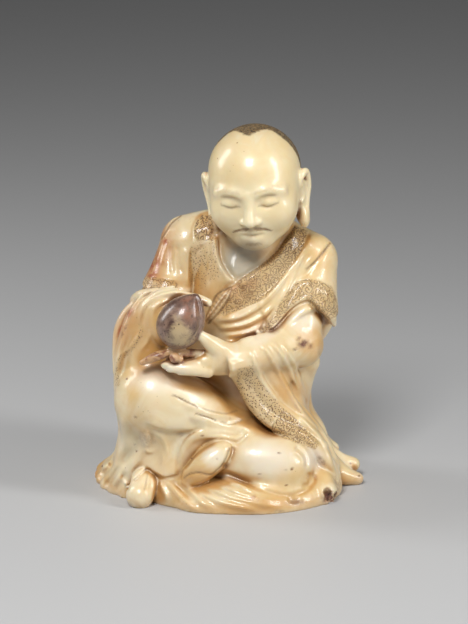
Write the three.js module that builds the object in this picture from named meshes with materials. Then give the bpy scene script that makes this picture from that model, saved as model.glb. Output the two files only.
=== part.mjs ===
// A seated luohan holding a peach, carved from one piece of soapstone.
//
// Millimetres, +Z up. The figure faces -Y and +X is to the viewer's right. The origin lies on the flat
// underside, below the middle of the body.
//
// The stone is described as a field: soft-joined forms give the body, and strokes drawn on it from one
// side or another give the folds. The zero surface of the field is then meshed and thinned.

import * as THREE from "three";

// Driving sizes
const HEIGHT = 107; // underside to crown
const WIDTH = 80;
const DEPTH = 60;
const GRID = 0.85; // spacing of the field's samples
const FACES = 9800; // triangles kept in the finished solid
const DETAIL_WEIGHT = 6; // how much harder the face and hands are held while thinning
const FRONT_TILT = 15; // the front drawing looks down on the figure by this many degrees
const SPAN_STEPS = 6; // straight pieces that stand for each curved span of a spine or stroke
const FAR = 20; // field value away from every form
const MARGIN = 7; // how far around a form the field is kept right

const HEAD = { centre: [5.7, -2, 90], yaw: -8, pitch: 12, roll: -4.5 };

const radians = THREE.MathUtils.degToRad;
const clamp01 = (t) => Math.min(1, Math.max(0, t));
const smooth01 = (t) => clamp01(t) ** 2 * (3 - 2 * clamp01(t));
const dot = (a, b) => a[0] * b[0] + a[1] * b[1] + a[2] * b[2];
const sub = (a, b) => [a[0] - b[0], a[1] - b[1], a[2] - b[2]];
const addScaled = (a, b, s) => [a[0] + b[0] * s, a[1] + b[1] * s, a[2] + b[2] * s];
const cross = (a, b) => [a[1] * b[2] - a[2] * b[1], a[2] * b[0] - a[0] * b[2], a[0] * b[1] - a[1] * b[0]];
const unit = (a) => a.map((v) => v / Math.hypot(...a));

// The field: signed distance samples on a regular grid, negative inside the stone
const LOW = [-WIDTH / 2 - 4.3, -DEPTH / 2 - 4.3, -2.3];
const COUNT = [WIDTH + 8, DEPTH + 8, HEIGHT + 6].map((v) => Math.ceil(v / GRID) + 1);
const field = new Float32Array(COUNT[0] * COUNT[1] * COUNT[2]).fill(FAR);
const cellAt = (i, j, k) => i + COUNT[0] * (j + COUNT[1] * k);

// Runs change(x, y, z, value) over every sample in a box and stores what it returns.
function overBox(low, high, change) {
  const from = low.map((v, n) => Math.max(0, Math.ceil((v - LOW[n]) / GRID)));
  const to = high.map((v, n) => Math.min(COUNT[n] - 1, Math.floor((v - LOW[n]) / GRID)));
  for (let k = from[2]; k <= to[2]; k++)
    for (let j = from[1]; j <= to[1]; j++)
      for (let i = from[0]; i <= to[0]; i++) {
        const c = cellAt(i, j, k);
        field[c] = change(LOW[0] + i * GRID, LOW[1] + j * GRID, LOW[2] + k * GRID, field[c]);
      }
}

function softMin(a, b, blend) {
  const h = Math.max(blend - Math.abs(a - b), 0) / blend;
  return Math.min(a, b) - (h * h * blend) / 4;
}

// Adds a form to the stone, its joint filled to about the blend's size.
function join(form, blend = 2) {
  const margin = Math.max(MARGIN, blend + 2 * GRID);
  overBox(
    form.low.map((v) => v - margin),
    form.high.map((v) => v + margin),
    (x, y, z, value) => (value < -blend - 2 ? value : softMin(value, form.distance(x, y, z), blend)),
  );
}

// Takes a form away from the stone, the rim eased by the blend.
function cut(form, blend = 1) {
  const margin = blend + 2 * GRID;
  overBox(
    form.low.map((v) => v - margin),
    form.high.map((v) => v + margin),
    (x, y, z, value) => -softMin(-value, form.distance(x, y, z), blend),
  );
}

// An ellipsoid. A turn is the 3x3 matrix of its own axes, as columns.
function egg(centre, radii, turn = null) {
  const reach = turn ? Array(3).fill(Math.max(...radii)) : radii;
  return {
    low: centre.map((v, n) => v - reach[n]),
    high: centre.map((v, n) => v + reach[n]),
    distance(x, y, z) {
      let p = [x - centre[0], y - centre[1], z - centre[2]];
      if (turn) p = turn.map((axis) => dot(axis, p));
      const k0 = Math.hypot(p[0] / radii[0], p[1] / radii[1], p[2] / radii[2]);
      const k1 = Math.hypot(p[0] / radii[0] ** 2, p[1] / radii[1] ** 2, p[2] / radii[2] ** 2);
      return k1 < 1e-6 ? -Math.min(...radii) : (k0 * (k0 - 1)) / k1;
    },
  };
}

// A smooth curve through the given points, of any number of values each.
function curveThrough(points, steps = SPAN_STEPS) {
  const out = [];
  for (let i = 0; i < points.length - 1; i++) {
    const [a, b, c, d] = [-1, 0, 1, 2].map((n) => points[Math.min(points.length - 1, Math.max(0, i + n))]);
    for (let s = 0; s < steps; s++) {
      const t = s / steps;
      out.push(
        b.map(
          (v, n) =>
            v +
            (t * (c[n] - a[n])) / 2 +
            t * t * (a[n] - 2.5 * v + 2 * c[n] - d[n] / 2) +
            t * t * t * (1.5 * (v - c[n]) + (d[n] - a[n]) / 2),
        ),
      );
    }
  }
  out.push(points[points.length - 1]);
  return out;
}

// A rounded limb along a spine of [x, y, z, radius]. Flat is a direction in which it is thinner, and
// thin is how many times.
function limb(points, flat = null, thin = 1) {
  const squeeze = (p) => (flat ? addScaled(p, flat, (thin - 1) * dot(flat, p)) : p);
  const spine = curveThrough(points);
  const most = Math.max(...spine.map((p) => p[3]));
  const pieces = spine.slice(1).map((end, n) => {
    const a = squeeze(spine[n].slice(0, 3));
    const along = sub(squeeze(end.slice(0, 3)), a);
    const length = Math.hypot(...along) || 1e-6;
    const dr = end[3] - spine[n][3];
    const slope = Math.min(0.9, Math.max(-0.9, dr / length));
    const lean = slope / Math.sqrt(1 - slope ** 2) / length;
    return { a, along, length2: length ** 2, r0: spine[n][3], dr, lean };
  });
  return {
    low: [0, 1, 2].map((n) => Math.min(...spine.map((p) => p[n])) - most),
    high: [0, 1, 2].map((n) => Math.max(...spine.map((p) => p[n])) + most),
    distance(x, y, z) {
      const p = squeeze([x, y, z]);
      let best = 1e9;
      for (const piece of pieces) {
        const q0 = p[0] - piece.a[0];
        const q1 = p[1] - piece.a[1];
        const q2 = p[2] - piece.a[2];
        const [d0, d1, d2] = piece.along;
        const flatT = (q0 * d0 + q1 * d1 + q2 * d2) / piece.length2;
        const aside = Math.hypot(q0 - flatT * d0, q1 - flatT * d1, q2 - flatT * d2);
        const t = clamp01(flatT + aside * piece.lean);
        const d = Math.hypot(q0 - t * d0, q1 - t * d1, q2 - t * d2) - piece.r0 - t * piece.dr;
        if (d < best) best = d;
      }
      return best / (flat ? Math.sqrt(thin) : 1);
    },
  };
}

// The part of a form on the side of a plane that its normal points to.
const HEM_ROUND = 1; // rounding of the rim where the plane cuts
function keepSide(form, point, normal) {
  const n = unit(normal);
  return {
    low: form.low,
    high: form.high,
    distance: (x, y, z) => -softMin(-form.distance(x, y, z), dot(n, sub([x, y, z], point)), HEM_ROUND),
  };
}

function fieldAt(p) {
  const g = p.map((v, n) => Math.min(COUNT[n] - 1.001, Math.max(0, (v - LOW[n]) / GRID)));
  const [i, j, k] = g.map(Math.floor);
  const [u, v, w] = [g[0] - i, g[1] - j, g[2] - k];
  let sum = 0;
  for (let n = 0; n < 8; n++) {
    const [a, b, c] = [n & 1, (n >> 1) & 1, n >> 2];
    sum += (a ? u : 1 - u) * (b ? v : 1 - v) * (c ? w : 1 - w) * field[cellAt(i + a, j + b, k + c)];
  }
  return sum;
}

// A drawing is a flat view of the figure that strokes are drawn on, in millimetres across and up.
function drawing(across, up, origin = [0, 0, 0]) {
  return { across, up, origin, towards: cross(across, up) };
}
function drawingFrom(azimuth, elevation) {
  const [a, e] = [radians(azimuth), radians(elevation)];
  const across = [Math.cos(a), Math.sin(a), 0];
  const towards = [Math.sin(a) * Math.cos(e), -Math.cos(a) * Math.cos(e), Math.sin(e)];
  return drawing(across, cross(towards, across));
}
const FRONT = drawingFrom(0, FRONT_TILT);
const BACK = drawingFrom(180, 0);
const LEFT = drawingFrom(-90, 0);
const RIGHT = drawingFrom(90, 0);

// The place in the figure of a point of the front drawing at a given depth, with any radius after it.
function front(across, up, depth, ...rest) {
  const e = radians(FRONT_TILT);
  return [across, depth, (up - depth * Math.sin(e)) / Math.cos(e), ...rest];
}

// The first place where the line of sight through a drawing's point meets the stone.
const SIGHT = 75; // how far outside the figure a line of sight starts
function onStone(view, [across, up]) {
  const foot = addScaled(addScaled(view.origin, view.across, across), view.up, up);
  for (let t = SIGHT; t > -SIGHT; t -= GRID / 2) {
    const p = addScaled(foot, view.towards, t);
    if (fieldAt(p) >= 0) continue;
    let [inner, outer] = [t, t + GRID / 2];
    for (let n = 0; n < 5; n++) {
      const middle = (inner + outer) / 2;
      if (fieldAt(addScaled(foot, view.towards, middle)) < 0) inner = middle;
      else outer = middle;
    }
    return addScaled(foot, view.towards, outer);
  }
  return null;
}

// A stroke on the stone: the runs of points where a drawn curve lies on it, broken where its depth jumps.
const STEEPEST = 2.5; // depth a stroke may gain for each millimetre drawn
const SHORTEST = 6; // points in the shortest run that is kept
function strokeOnStone(view, points) {
  const runs = [[]];
  for (const drawn of curveThrough(points, 3 * SPAN_STEPS)) {
    const p = onStone(view, drawn);
    if (!p) continue;
    const run = runs[runs.length - 1];
    const step = run.length ? sub(p, run[run.length - 1]) : [0, 0, 0];
    const gained = Math.abs(dot(step, view.towards));
    const crossed = Math.sqrt(Math.max(0, dot(step, step) - gained ** 2));
    if (gained < STEEPEST * crossed + 0.5) run.push(p);
    else runs.push([p]);
  }
  return runs.filter((run) => run.length >= SHORTEST).map(eased);
}

// Evens out the small steps of a run without moving its ends.
function eased(run) {
  const between = (before, p, after) => p.map((v, n) => (before[n] + 2 * v + after[n]) / 4);
  let out = run;
  for (let pass = 0; pass < 6; pass++)
    out = out.map((p, n) => (n && n < out.length - 1 ? between(out[n - 1], p, out[n + 1]) : p));
  return out;
}

// Changes the field near a stroke: shape(away, side) gives how far the surface moves in, in
// millimetres, from the distance to the stroke and the signed distance to its left as drawn.
// Depth counts for less than the drawn directions, so that a stroke stays even across a fold.
const ENDS = 3; // length over which a stroke fades in and out
const DEPTH_SHARE = 0.3;
function alongStroke(view, points, reach, shape) {
  const seen = (p) => [dot(p, view.across), dot(p, view.up), DEPTH_SHARE * dot(p, view.towards)];
  for (const run of strokeOnStone(view, points)) {
    const drawn = run.map(seen);
    let whole = 0;
    const pieces = drawn.slice(1).map((end, n) => {
      const along = sub(end, drawn[n]);
      const length = Math.hypot(along[0], along[1]);
      whole += length;
      return { a: drawn[n], along, length, start: whole - length, length2: dot(along, along) || 1e-9 };
    });
    const fade = Math.min(ENDS, 0.35 * whole);
    const spread = 1.5 * reach;
    const low = [0, 1, 2].map((m) => Math.min(...run.map((p) => p[m])) - spread);
    const high = [0, 1, 2].map((m) => Math.max(...run.map((p) => p[m])) + spread);
    overBox(low, high, (x, y, z, value) => {
      if (Math.abs(value) > reach) return value;
      const p = seen([x, y, z]);
      let [best, side, way, behind] = [reach * reach, 0, 0, 0];
      for (const piece of pieces) {
        const q = sub(p, piece.a);
        const t = clamp01(dot(q, piece.along) / piece.length2);
        const off = addScaled(q, piece.along, -t);
        const away = dot(off, off);
        if (away >= best) continue;
        const turned = piece.along[0] * q[1] - piece.along[1] * q[0];
        best = away;
        side = Math.sign(turned) * Math.hypot(off[0], off[1]);
        way = piece.start + t * piece.length;
        behind = Math.abs(off[2]) / DEPTH_SHARE;
      }
      if (best >= reach * reach) return value;
      const taper = smooth01(Math.min(way, whole - way) / fade) * smooth01((reach + 3.5 - behind) / 2);
      return value + taper * shape(Math.sqrt(best), side);
    });
  }
}

const bump = (d, width) => Math.exp(-((d / width) ** 2));
function groove(view, width, depth, ...points) {
  alongStroke(view, points, 3 * width, (away) => depth * bump(away, width));
}
function ridge(view, width, height, ...points) {
  groove(view, width, -height, ...points);
}
// The edge of a layer of cloth: the left of the stroke stands higher and sinks back over the fade's length.
const EDGE = 0.75; // half the width of a cloth edge's step
function lap(view, height, fade, ...points) {
  alongStroke(view, points, 2 * fade, (away, side) => {
    const raised = smooth01((side + EDGE) / (2 * EDGE)) * bump(Math.max(side, 0), fade);
    const foot = bump(side + 2 * EDGE, 2 * EDGE) * bump(away, fade);
    return height * (0.5 * foot - raised * bump(Math.max(away - fade, 0), fade));
  });
}

// The torso under the robe, from the seat to the shoulders, and the bare neck.
function torso() {
  join(egg([3, 9, 11], [23, 19, 12.5]), 2);
  join(egg([4, 4, 32], [18.5, 14, 21]), 8);
  join(egg([4, 6, 55], [18.5, 13, 20]), 8);
  join(egg([-12, 5, 38], [8, 9, 18]), 4); // between the body and the lifted arm
  join(limb([[4, 8, 46, 11], [4, 11, 28, 14], [4, 12.5, 14, 16]]), 6); // the robe down the back
  join(limb([[-13.8, 7.5, 71, 7.4], [3, 9, 73, 7.5], [21.5, 7, 65.5, 7.8]]), 5);
  join(limb([[4.5, 5.5, 70, 7.6], [6, 1, 80, 7.2]]), 2);
  cut(egg(front(3.2, 65, -9.6), [6.8, 6.4, 6.8]), 1.5); // the bare chest lies deep between the lapels
}

const headTurn = new THREE.Matrix4()
  .makeRotationZ(radians(HEAD.yaw))
  .multiply(new THREE.Matrix4().makeRotationX(radians(HEAD.pitch)))
  .multiply(new THREE.Matrix4().makeRotationY(radians(HEAD.roll)));
const headAxes = [0, 1, 2].map((n) => headTurn.elements.slice(4 * n, 4 * n + 3));
const inHead = (x, y, z, ...rest) => [
  ...addScaled(addScaled(addScaled(HEAD.centre, headAxes[0], x), headAxes[1], y), headAxes[2], z),
  ...rest,
];
const FACE = drawing(headAxes[0], headAxes[2], HEAD.centre);

// The head in its own frame: x to its left, y to the back, z up, the centre midway from chin to crown.
function head() {
  const form = (x, y, z, rx, ry, rz) => egg(inHead(x, y, z), [rx, ry, rz], headAxes);
  join(form(0, 1.5, 3.5, 13.1, 14.6, 12.7), 0.6);
  join(form(0, -2.6, -3.4, 12.2, 11.8, 11.6), 4);
  join(form(0, -5.4, -8.2, 9.4, 7.6, 7.2), 4);
  for (const side of [-1, 1]) {
    join(form(6.8 * side, -8, -4.4, 4.8, 4.8, 4.8), 3.5); // cheek
    const brow = [
      inHead(2.6 * side, -13.2, 2.2, 0.5),
      inHead(5.8 * side, -12.5, 3.2, 0.6),
      inHead(9.2 * side, -10.2, 2.2, 0.5),
    ];
    join(limb(brow), 3);
    cut(egg(inHead(5.2 * side, -15.9, -0.2), [3.4, 2.8, 2.1], headAxes), 2.4); // socket
    join(form(5.2 * side, -11, -0.4, 3, 2.5, 1.8), 0.7); // eyeball under its lids
    join(form(1.8 * side, -14.3, -5.4, 1.25, 1.4, 1.05), 0.8); // wing of the nose
    ear(side);
  }
  join(limb([inHead(0, -13.3, 2, 1), inHead(0, -14.6, -1.6, 1.15), inHead(0, -15.9, -4.8, 1.6)]), 1.4);
  join(limb([inHead(-3.2, -12.7, -9, 0.65), inHead(0, -14, -8.5, 0.9), inHead(3.2, -12.7, -9, 0.65)]), 1);
  const lip = [
    inHead(-2.4, -12.5, -10.6, 0.75),
    inHead(0, -13.5, -10.7, 1.1),
    inHead(2.4, -12.5, -10.6, 0.75),
  ];
  join(limb(lip), 1);
  join(form(0, -10.4, -12.6, 4.8, 2.9, 2.9), 3);
  for (const side of [-1, 1]) {
    groove(FACE, 0.5, 0.5, [2.6 * side, -1], [5.2 * side, -1.5], [8.2 * side, -0.6]);
  }
  groove(FACE, 0.5, 0.6, [-4, -9.4], [-1.6, -9.7], [0, -9.6], [1.6, -9.7], [4, -9.4]);
}

// A long ear: a curled rim round a hollow, and a full hanging lobe.
function ear(side) {
  const at = (x, y, z, r) => inHead(x * side, y, z, r);
  const shell = [at(12.5, 0, 0.4, 1.6), at(12.7, 0.4, -5, 1.5), at(12, -0.4, -10.4, 1.6)];
  join(limb(shell, headAxes[0], 1.3), 1);
  const rim = [
    at(12.2, -2, -1, 0.9),
    at(13.3, -1, 2, 1.1),
    at(14.4, 1.4, 2.2, 1.15),
    at(14.5, 2.2, -2, 1.1),
    at(13.7, 1.4, -6.4, 1.1),
    at(13.1, 0.4, -9.4, 1.4),
  ];
  join(limb(rim), 0.6);
  join(egg(at(12.9, -0.4, -11).slice(0, 3), [1.7, 2.2, 3.2], headAxes), 0.8);
}

// Each row of a table of points of the front drawing, placed: [across, up, depth, radius].
const placed = (rows) => rows.map((row) => front(...row));

// The left arm: a wide short sleeve, the long inner sleeve below it bent at the elbow, and the hand.
function leftArm() {
  const sleeve = limb([[21.5, 7, 65, 7.7], [21.2, 4, 57, 8], [19.4, -0.8, 46, 9.3]]);
  const peak = front(20.3, 53, -9.8);
  join(keepSide(sleeve, peak, cross(sub(front(29, 46, 4), peak), [-1, -0.1, -0.8])), 1);
  join(limb([[21.5, 6.5, 60, 6], front(19.2, 47, -1.4, 5.9), front(18.6, 41, -3.6, 6.2)]), 0.5);
  const forearm = limb(placed([[18.8, 40.5, -3.6, 6.2], [9, 38.8, -12, 5.4], [1.4, 36.9, -16, 4.9],
      [-3, 36.3, -18, 4.9]]));
  join(keepSide(forearm, front(-1.3, 36.6, -17), [1, -0.15, -0.05]), 1.5);
  join(egg(front(14.5, 42.6, -5.6), [5.4, 5, 5]), 3);
  // tip of the hem
  join(limb(placed([[24, 52, -5, 1.5], [27, 48.4, -2.6, 1.3], [28.4, 46.4, -0.6, 0.8]])), 1.5);
}

function leftHand() {
  const across = unit([0, 1, 0.3]);
  const back = placed([[0.5, 36.2, -17, 3.9], [-4.5, 35.9, -18.5, 4], [-8.5, 35.4, -19.4, 3.1]]);
  join(limb(back, across, 1.3), 0.7);
  const tips = [
    [-18.5, 36.3, -18.6],
    [-19.8, 35.2, -20.2],
    [-18.4, 34.2, -21],
    [-15.6, 33.4, -21],
  ];
  tips.forEach(([a, b, y], n) => {
    const root = front(-7.6, 37.3 - 1.35 * n, -18.4 - 0.7 * n, 1.75);
    const middle = front((a - 7.6) / 2, b - 0.5 + 0.25 * n, y - 0.3, 1.6);
    join(limb([root, middle, front(a, b, y, 1.15)]), 0.7);
  });
  join(limb(placed([[-2.8, 38.2, -18.5, 3.3], [-6.6, 41, -20.2, 2.4], [-10.2, 44, -21.8, 1.1]])), 1.4);
}

// The right arm: its short sleeve with a rolled hem, the forearm lifted in front of the chest, the
// hand behind the peach, and the cuff drawn over the hand in strands that run down to the knee.
function rightArm() {
  const sleeve = limb([[-14.2, 7, 69.6, 7.2], [-17.5, 4.6, 61.4, 7.2], [-20.8, 1, 53, 8.4]]);
  join(keepSide(sleeve, front(-22, 54.4, -6), [0.1, -0.12, 0.9]), 1);
  join(limb([[-18.5, 5, 61, 6], [-23.4, 2, 50, 6], front(-24, 47, -6, 5.4)]), 0.5);
  const hem = [
    [-28.2, 53.4, 1, 1.4],
    [-28.4, 53.6, -3, 1.5],
    [-26.6, 55, -7.4, 1.3],
    [-22.8, 55.8, -9.8, 1.1],
    [-17.6, 56.6, -11, 0.9],
  ];
  join(limb(placed(hem)), 1);
  join(limb(placed([[-24.5, 47, -6, 5.2], [-23.3, 50, -9, 4.8], [-19.6, 51, -12.5, 4.4]])), 1.5);
  join(egg(front(-19.6, 47, -14), [4.8, 4, 6.8]), 1.2);
  join(limb(placed([[-24, 48, -9, 5], [-25, 41, -9.4, 5.8], [-24.6, 35, -10, 6.4]])), 1.5);
  join(limb(placed([[-14, 53, -14, 2], [-11, 53.7, -15.6, 1.5], [-7.6, 52.6, -16.8, 1.2]])), 1);
  const strands = [
    [[-12.4, 54.4, -15.4, 0.9], [-16, 55, -15.2, 1.2], [-20.4, 53.8, -14.6, 1.2],
        [-23.2, 51, -14.2, 1.2], [-24.6, 47.4, -13.8, 1.2], [-26.6, 40, -13.2, 0.9]],
    [[-16.5, 56, -13.4, 0.9], [-21, 55.2, -12.8, 1.3], [-25, 52.4, -12.2, 1.4],
        [-27, 48.4, -11.6, 1.4], [-27.8, 44.6, -11.4, 1.2]],
    [[-24.6, 53.4, -9, 1.5], [-28.2, 50.4, -8.8, 1.7], [-30, 46.6, -8.8, 1.7], [-31.6, 42, -9, 1.5],
        [-33.2, 37, -9.4, 1.2]],
    [[-27.4, 52.6, -4.8, 1.8], [-30.6, 49.4, -4.8, 1.9], [-32.6, 45, -5, 1.9],
        [-33.4, 39.4, -5.6, 1.6], [-33.6, 33, -6, 1.2]],
  ];
  for (const rows of strands) join(limb(placed(rows)), 1);
}

// The peach, its leaf and stem lie in the hands.
function peach() {
  join(limb(placed([[-15.6, 46.2, -20, 6.55], [-14.2, 48.6, -20, 5.9], [-12, 52.2, -20.4, 2.9],
      [-10.9, 54.2, -20.6, 1]])), 0.5);
  groove(FRONT, 0.6, 0.7, [-10.9, 54.8], [-10, 51], [-9.9, 46.5], [-11, 42.5]);
  const leaf = placed([[-18.6, 38.6, -20, 1.3], [-22, 37.6, -20.6, 1.7], [-26, 35.8, -21, 1]]);
  join(limb(leaf, unit([0, 0.2, 1]), 1.3), 0.5);
  join(limb(placed([[-17.8, 39.5, -20, 1.2], [-14, 38.6, -20, 1.3], [-9, 38.6, -19, 0.9]])), 0.5);
  join(egg(front(-17, 37.2, -22), [1.5, 1.4, 1.5]), 0.4);
  join(egg(front(-15.4, 36.7, -21.6), [1, 1, 1.1]), 0.3);
}

// The raised right leg, the folded left leg and both shoes.
function legs() {
  const thigh = [
    [-23.2, 26.2, -12, 10.8],
    [-12.5, 22.4, -11.5, 8.7],
    [-5, 18.8, -10, 6.8],
    [2, 16, -7, 6.4],
    [9, 14.6, 0, 7],
  ];
  join(limb(placed(thigh)), 2.5);
  join(limb(placed([[-24, 23, -11, 9], [-24.5, 13, -8, 7.8], [-26, 5, -8, 6.4]])), 4);
  join(egg(front(-15, 8, -5), [9, 9, 11]), 3);
  join(limb(placed([[-19, 16, -12, 5], [-18.4, 7, -13, 5], [-17.4, 0, -15, 4.4]])), 4);
  join(egg(front(-22.6, 7.2, -12.6), [3.8, 3.4, 3.4]), 2);
  // the robe behind the left shoe
  join(limb(placed([[-9, 12.4, -13, 5.6], [-2, 12.6, -12.6, 5.8], [5, 12.6, -11.4, 6.2]])), 3);
  join(limb(placed([[-12.6, 3, -16, 4], [-11.4, 9, -14.6, 4.4], [-6, 12, -14.4, 4.6]])), 2);
  // the left calf and knee
  join(limb(placed([[-2, 8.4, -13.5, 6], [6, 7.8, -14.5, 8], [13, 6.4, -13.5, 8.7]])), 1.6);
  join(limb([front(13, 6.4, -13, 8.4), [18, 0, 11.5, 8.4], [16, 12, 11, 9.5]]), 4);
  const along = unit(sub(front(-1.5, 12.5, -20), front(-14, 2.6, -21)));
  const thick = unit(cross(along, FRONT.across));
  join(egg(front(-7.9, 7, -19.6), [8.7, 4.2, 4.2], [along, thick, cross(along, thick)]), 0.5);
  join(limb(placed([[-24.6, 4, -14.5, 2.2], [-25.8, 1, -17, 3.6], [-27, -2, -19.4, 4]])), 0.8);
  // the robe drawn up in an arch round the left shoe
  const arch = [
    [-16.6, 2, -15, 1.6],
    [-15.6, 9, -16.6, 1.8],
    [-13, 14, -17.6, 1.9],
    [-9.4, 16, -18, 1.9],
    [-5, 14.9, -17.6, 1.7],
    [-1, 14, -16.4, 1.6],
    [2.4, 15.4, -14.6, 1.4],
    [5, 17, -12.4, 1],
  ];
  join(limb(placed(arch)), 2.2);
}

// The robe's skirt spread on the ground, its fan of folds at one side and its fold ends at the other.
function skirt() {
  join(egg([0, -3, 1], [30, 21, 9]), 4);
  join(egg([2, 10, 2], [27, 20, 9]), 4);
  join(egg([-29, 2, 0], [8, 12, 8]), 4);
  const rim = [
    [-30, -8, 1.2, 2.4],
    [-21, -14.8, 1.2, 2.4],
    [-16.4, -19, 1, 2.2],
    [-11, -23.6, 0.8, 2.6],
    [0, -25, 0.6, 2.8],
    [8, -24.8, 0.6, 2.9],
    [16, -22, 0.8, 3],
    [23, -16.6, 1.4, 3.2],
    [27.4, -9, 2.2, 3],
  ];
  join(limb(rim), 3);
  join(limb([[-14, -17, 3, 3.4], [-6, -20, 3, 4], [2, -21.4, 3, 4.4], [10, -20.4, 3, 4.6],
      [19, -15, 3.4, 5], [25, -7, 4, 4.6]]), 3);
  const fan = [[-38.4, 12, 2.2], [-39, 7, 1.9], [-38, 2.4, 2.3], [-37, -2.6, 1.9], [-34, -6.6, 2.4],
      [-31, -11, 1.9]];
  for (const [x, y, r] of fan)
    join(limb([[-27, 0.4 * y - 1, 16, 3.4], [-31.5, 0.7 * y, 7, 3], [x, y, 0.8, r]]), 3);
  // the thick end of the long sleeve, and the fold ends beside it
  join(limb(placed([[22.6, 4.6, -10, 3], [24.6, 1, -13, 3.6], [25.4, -1.6, -15.4, 3.8]])), 1.5);
  join(limb([[22, 1, 8, 6], [30, 0, 3.4, 3.2], [35.4, 0.6, 1.7, 1.8]]), 1.5);
  join(limb([[22, 9, 8, 5.5], [29.4, 7.4, 5, 3], [34.2, 7.6, 3.8, 2.2]]), 1);
  join(limb([[20, 15, 9, 6], [25.6, 15.6, 7.4, 3], [28.6, 15.6, 6.2, 2]]), 1);
  join(limb([[14, 20, 10, 8], [20, 24, 3, 4]]), 3);
}

// The long sleeve that hangs from the left forearm over the thigh to the ground.
function hangingSleeve() {
  const folds = [
    [[0.6, 35, -16.6, 3.4], [2.6, 29.5, -15.4, 2.2], [5.6, 24, -14.8, 2.2], [10, 19.4, -14.4, 2.2],
        [16, 15.8, -13.6, 2.2], [21.6, 12.4, -12.6, 2.2], [26, 6.4, -10.6, 2], [27.6, 1.4, -8, 2]],
    [[3.6, 35.6, -15, 3.8], [6, 30, -14, 2.8], [9.6, 24.4, -13, 2.6], [15, 19.6, -11.6, 2.6],
        [21, 15, -10, 2.6], [26, 8.4, -7.6, 2.4], [28, 3, -5.4, 2.4]],
    [[7.6, 36.6, -12, 4], [10.6, 30.6, -10.6, 3.2], [14.4, 24.8, -9, 3], [19, 19.8, -7, 3],
        [24, 13, -5, 2.8], [27.6, 6, -3.4, 2.6]],
    [[12, 37.6, -8.6, 4.2], [14.6, 31, -6.6, 3.6], [16, 25.6, -4.4, 3.4], [18.4, 19.6, -2.6, 3.2],
        [22.4, 13.6, -0.6, 3]],
  ];
  for (const rows of folds) join(limb(placed(rows)), 1);
  join(limb([[18, 4, 40, 4.6], [15.4, 9, 30, 6], [13.4, 10, 20, 8]]), 3);
  join(limb([[20.4, 1, 37, 4], [19, 4, 31, 3.4], [17, 5, 26, 3]]), 1);
}

// The right sleeve, hanging in folds outside the raised knee.
function kneeSleeve() {
  const outer = [
    [-24, 52, -9, 2.6],
    [-28.4, 47.4, -10, 2.4],
    [-31.2, 41, -10.4, 2.2],
    [-32.2, 33, -9.6, 2.2],
    [-31.6, 24, -8, 2.4],
    [-30, 15, -7, 3.2],
    [-31, 7, -8, 3],
  ];
  const middle = [
    [-25, 50, -5, 3.6],
    [-29.6, 44, -5, 3.3],
    [-31.4, 36, -4.6, 3.1],
    [-31.4, 26, -3.4, 3.3],
    [-29.6, 16, -2, 4],
    [-31, 8, -2, 4],
  ];
  join(limb(placed(outer)), 1.6);
  join(limb(placed(middle)), 1.6);
  join(limb([[-24, 2, 51, 5], [-26.6, 3, 42, 5], [-27, 4, 30, 5.4], [-25.4, 6, 18, 7],
      [-27, 6, 6, 7]]), 2.5);
  join(limb([[-19.5, 7, 50, 5.5], [-20, 9.5, 38, 6.8], [-19.6, 11, 24, 8.6], [-18.6, 11, 8, 11.4]]), 4);
}

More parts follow.
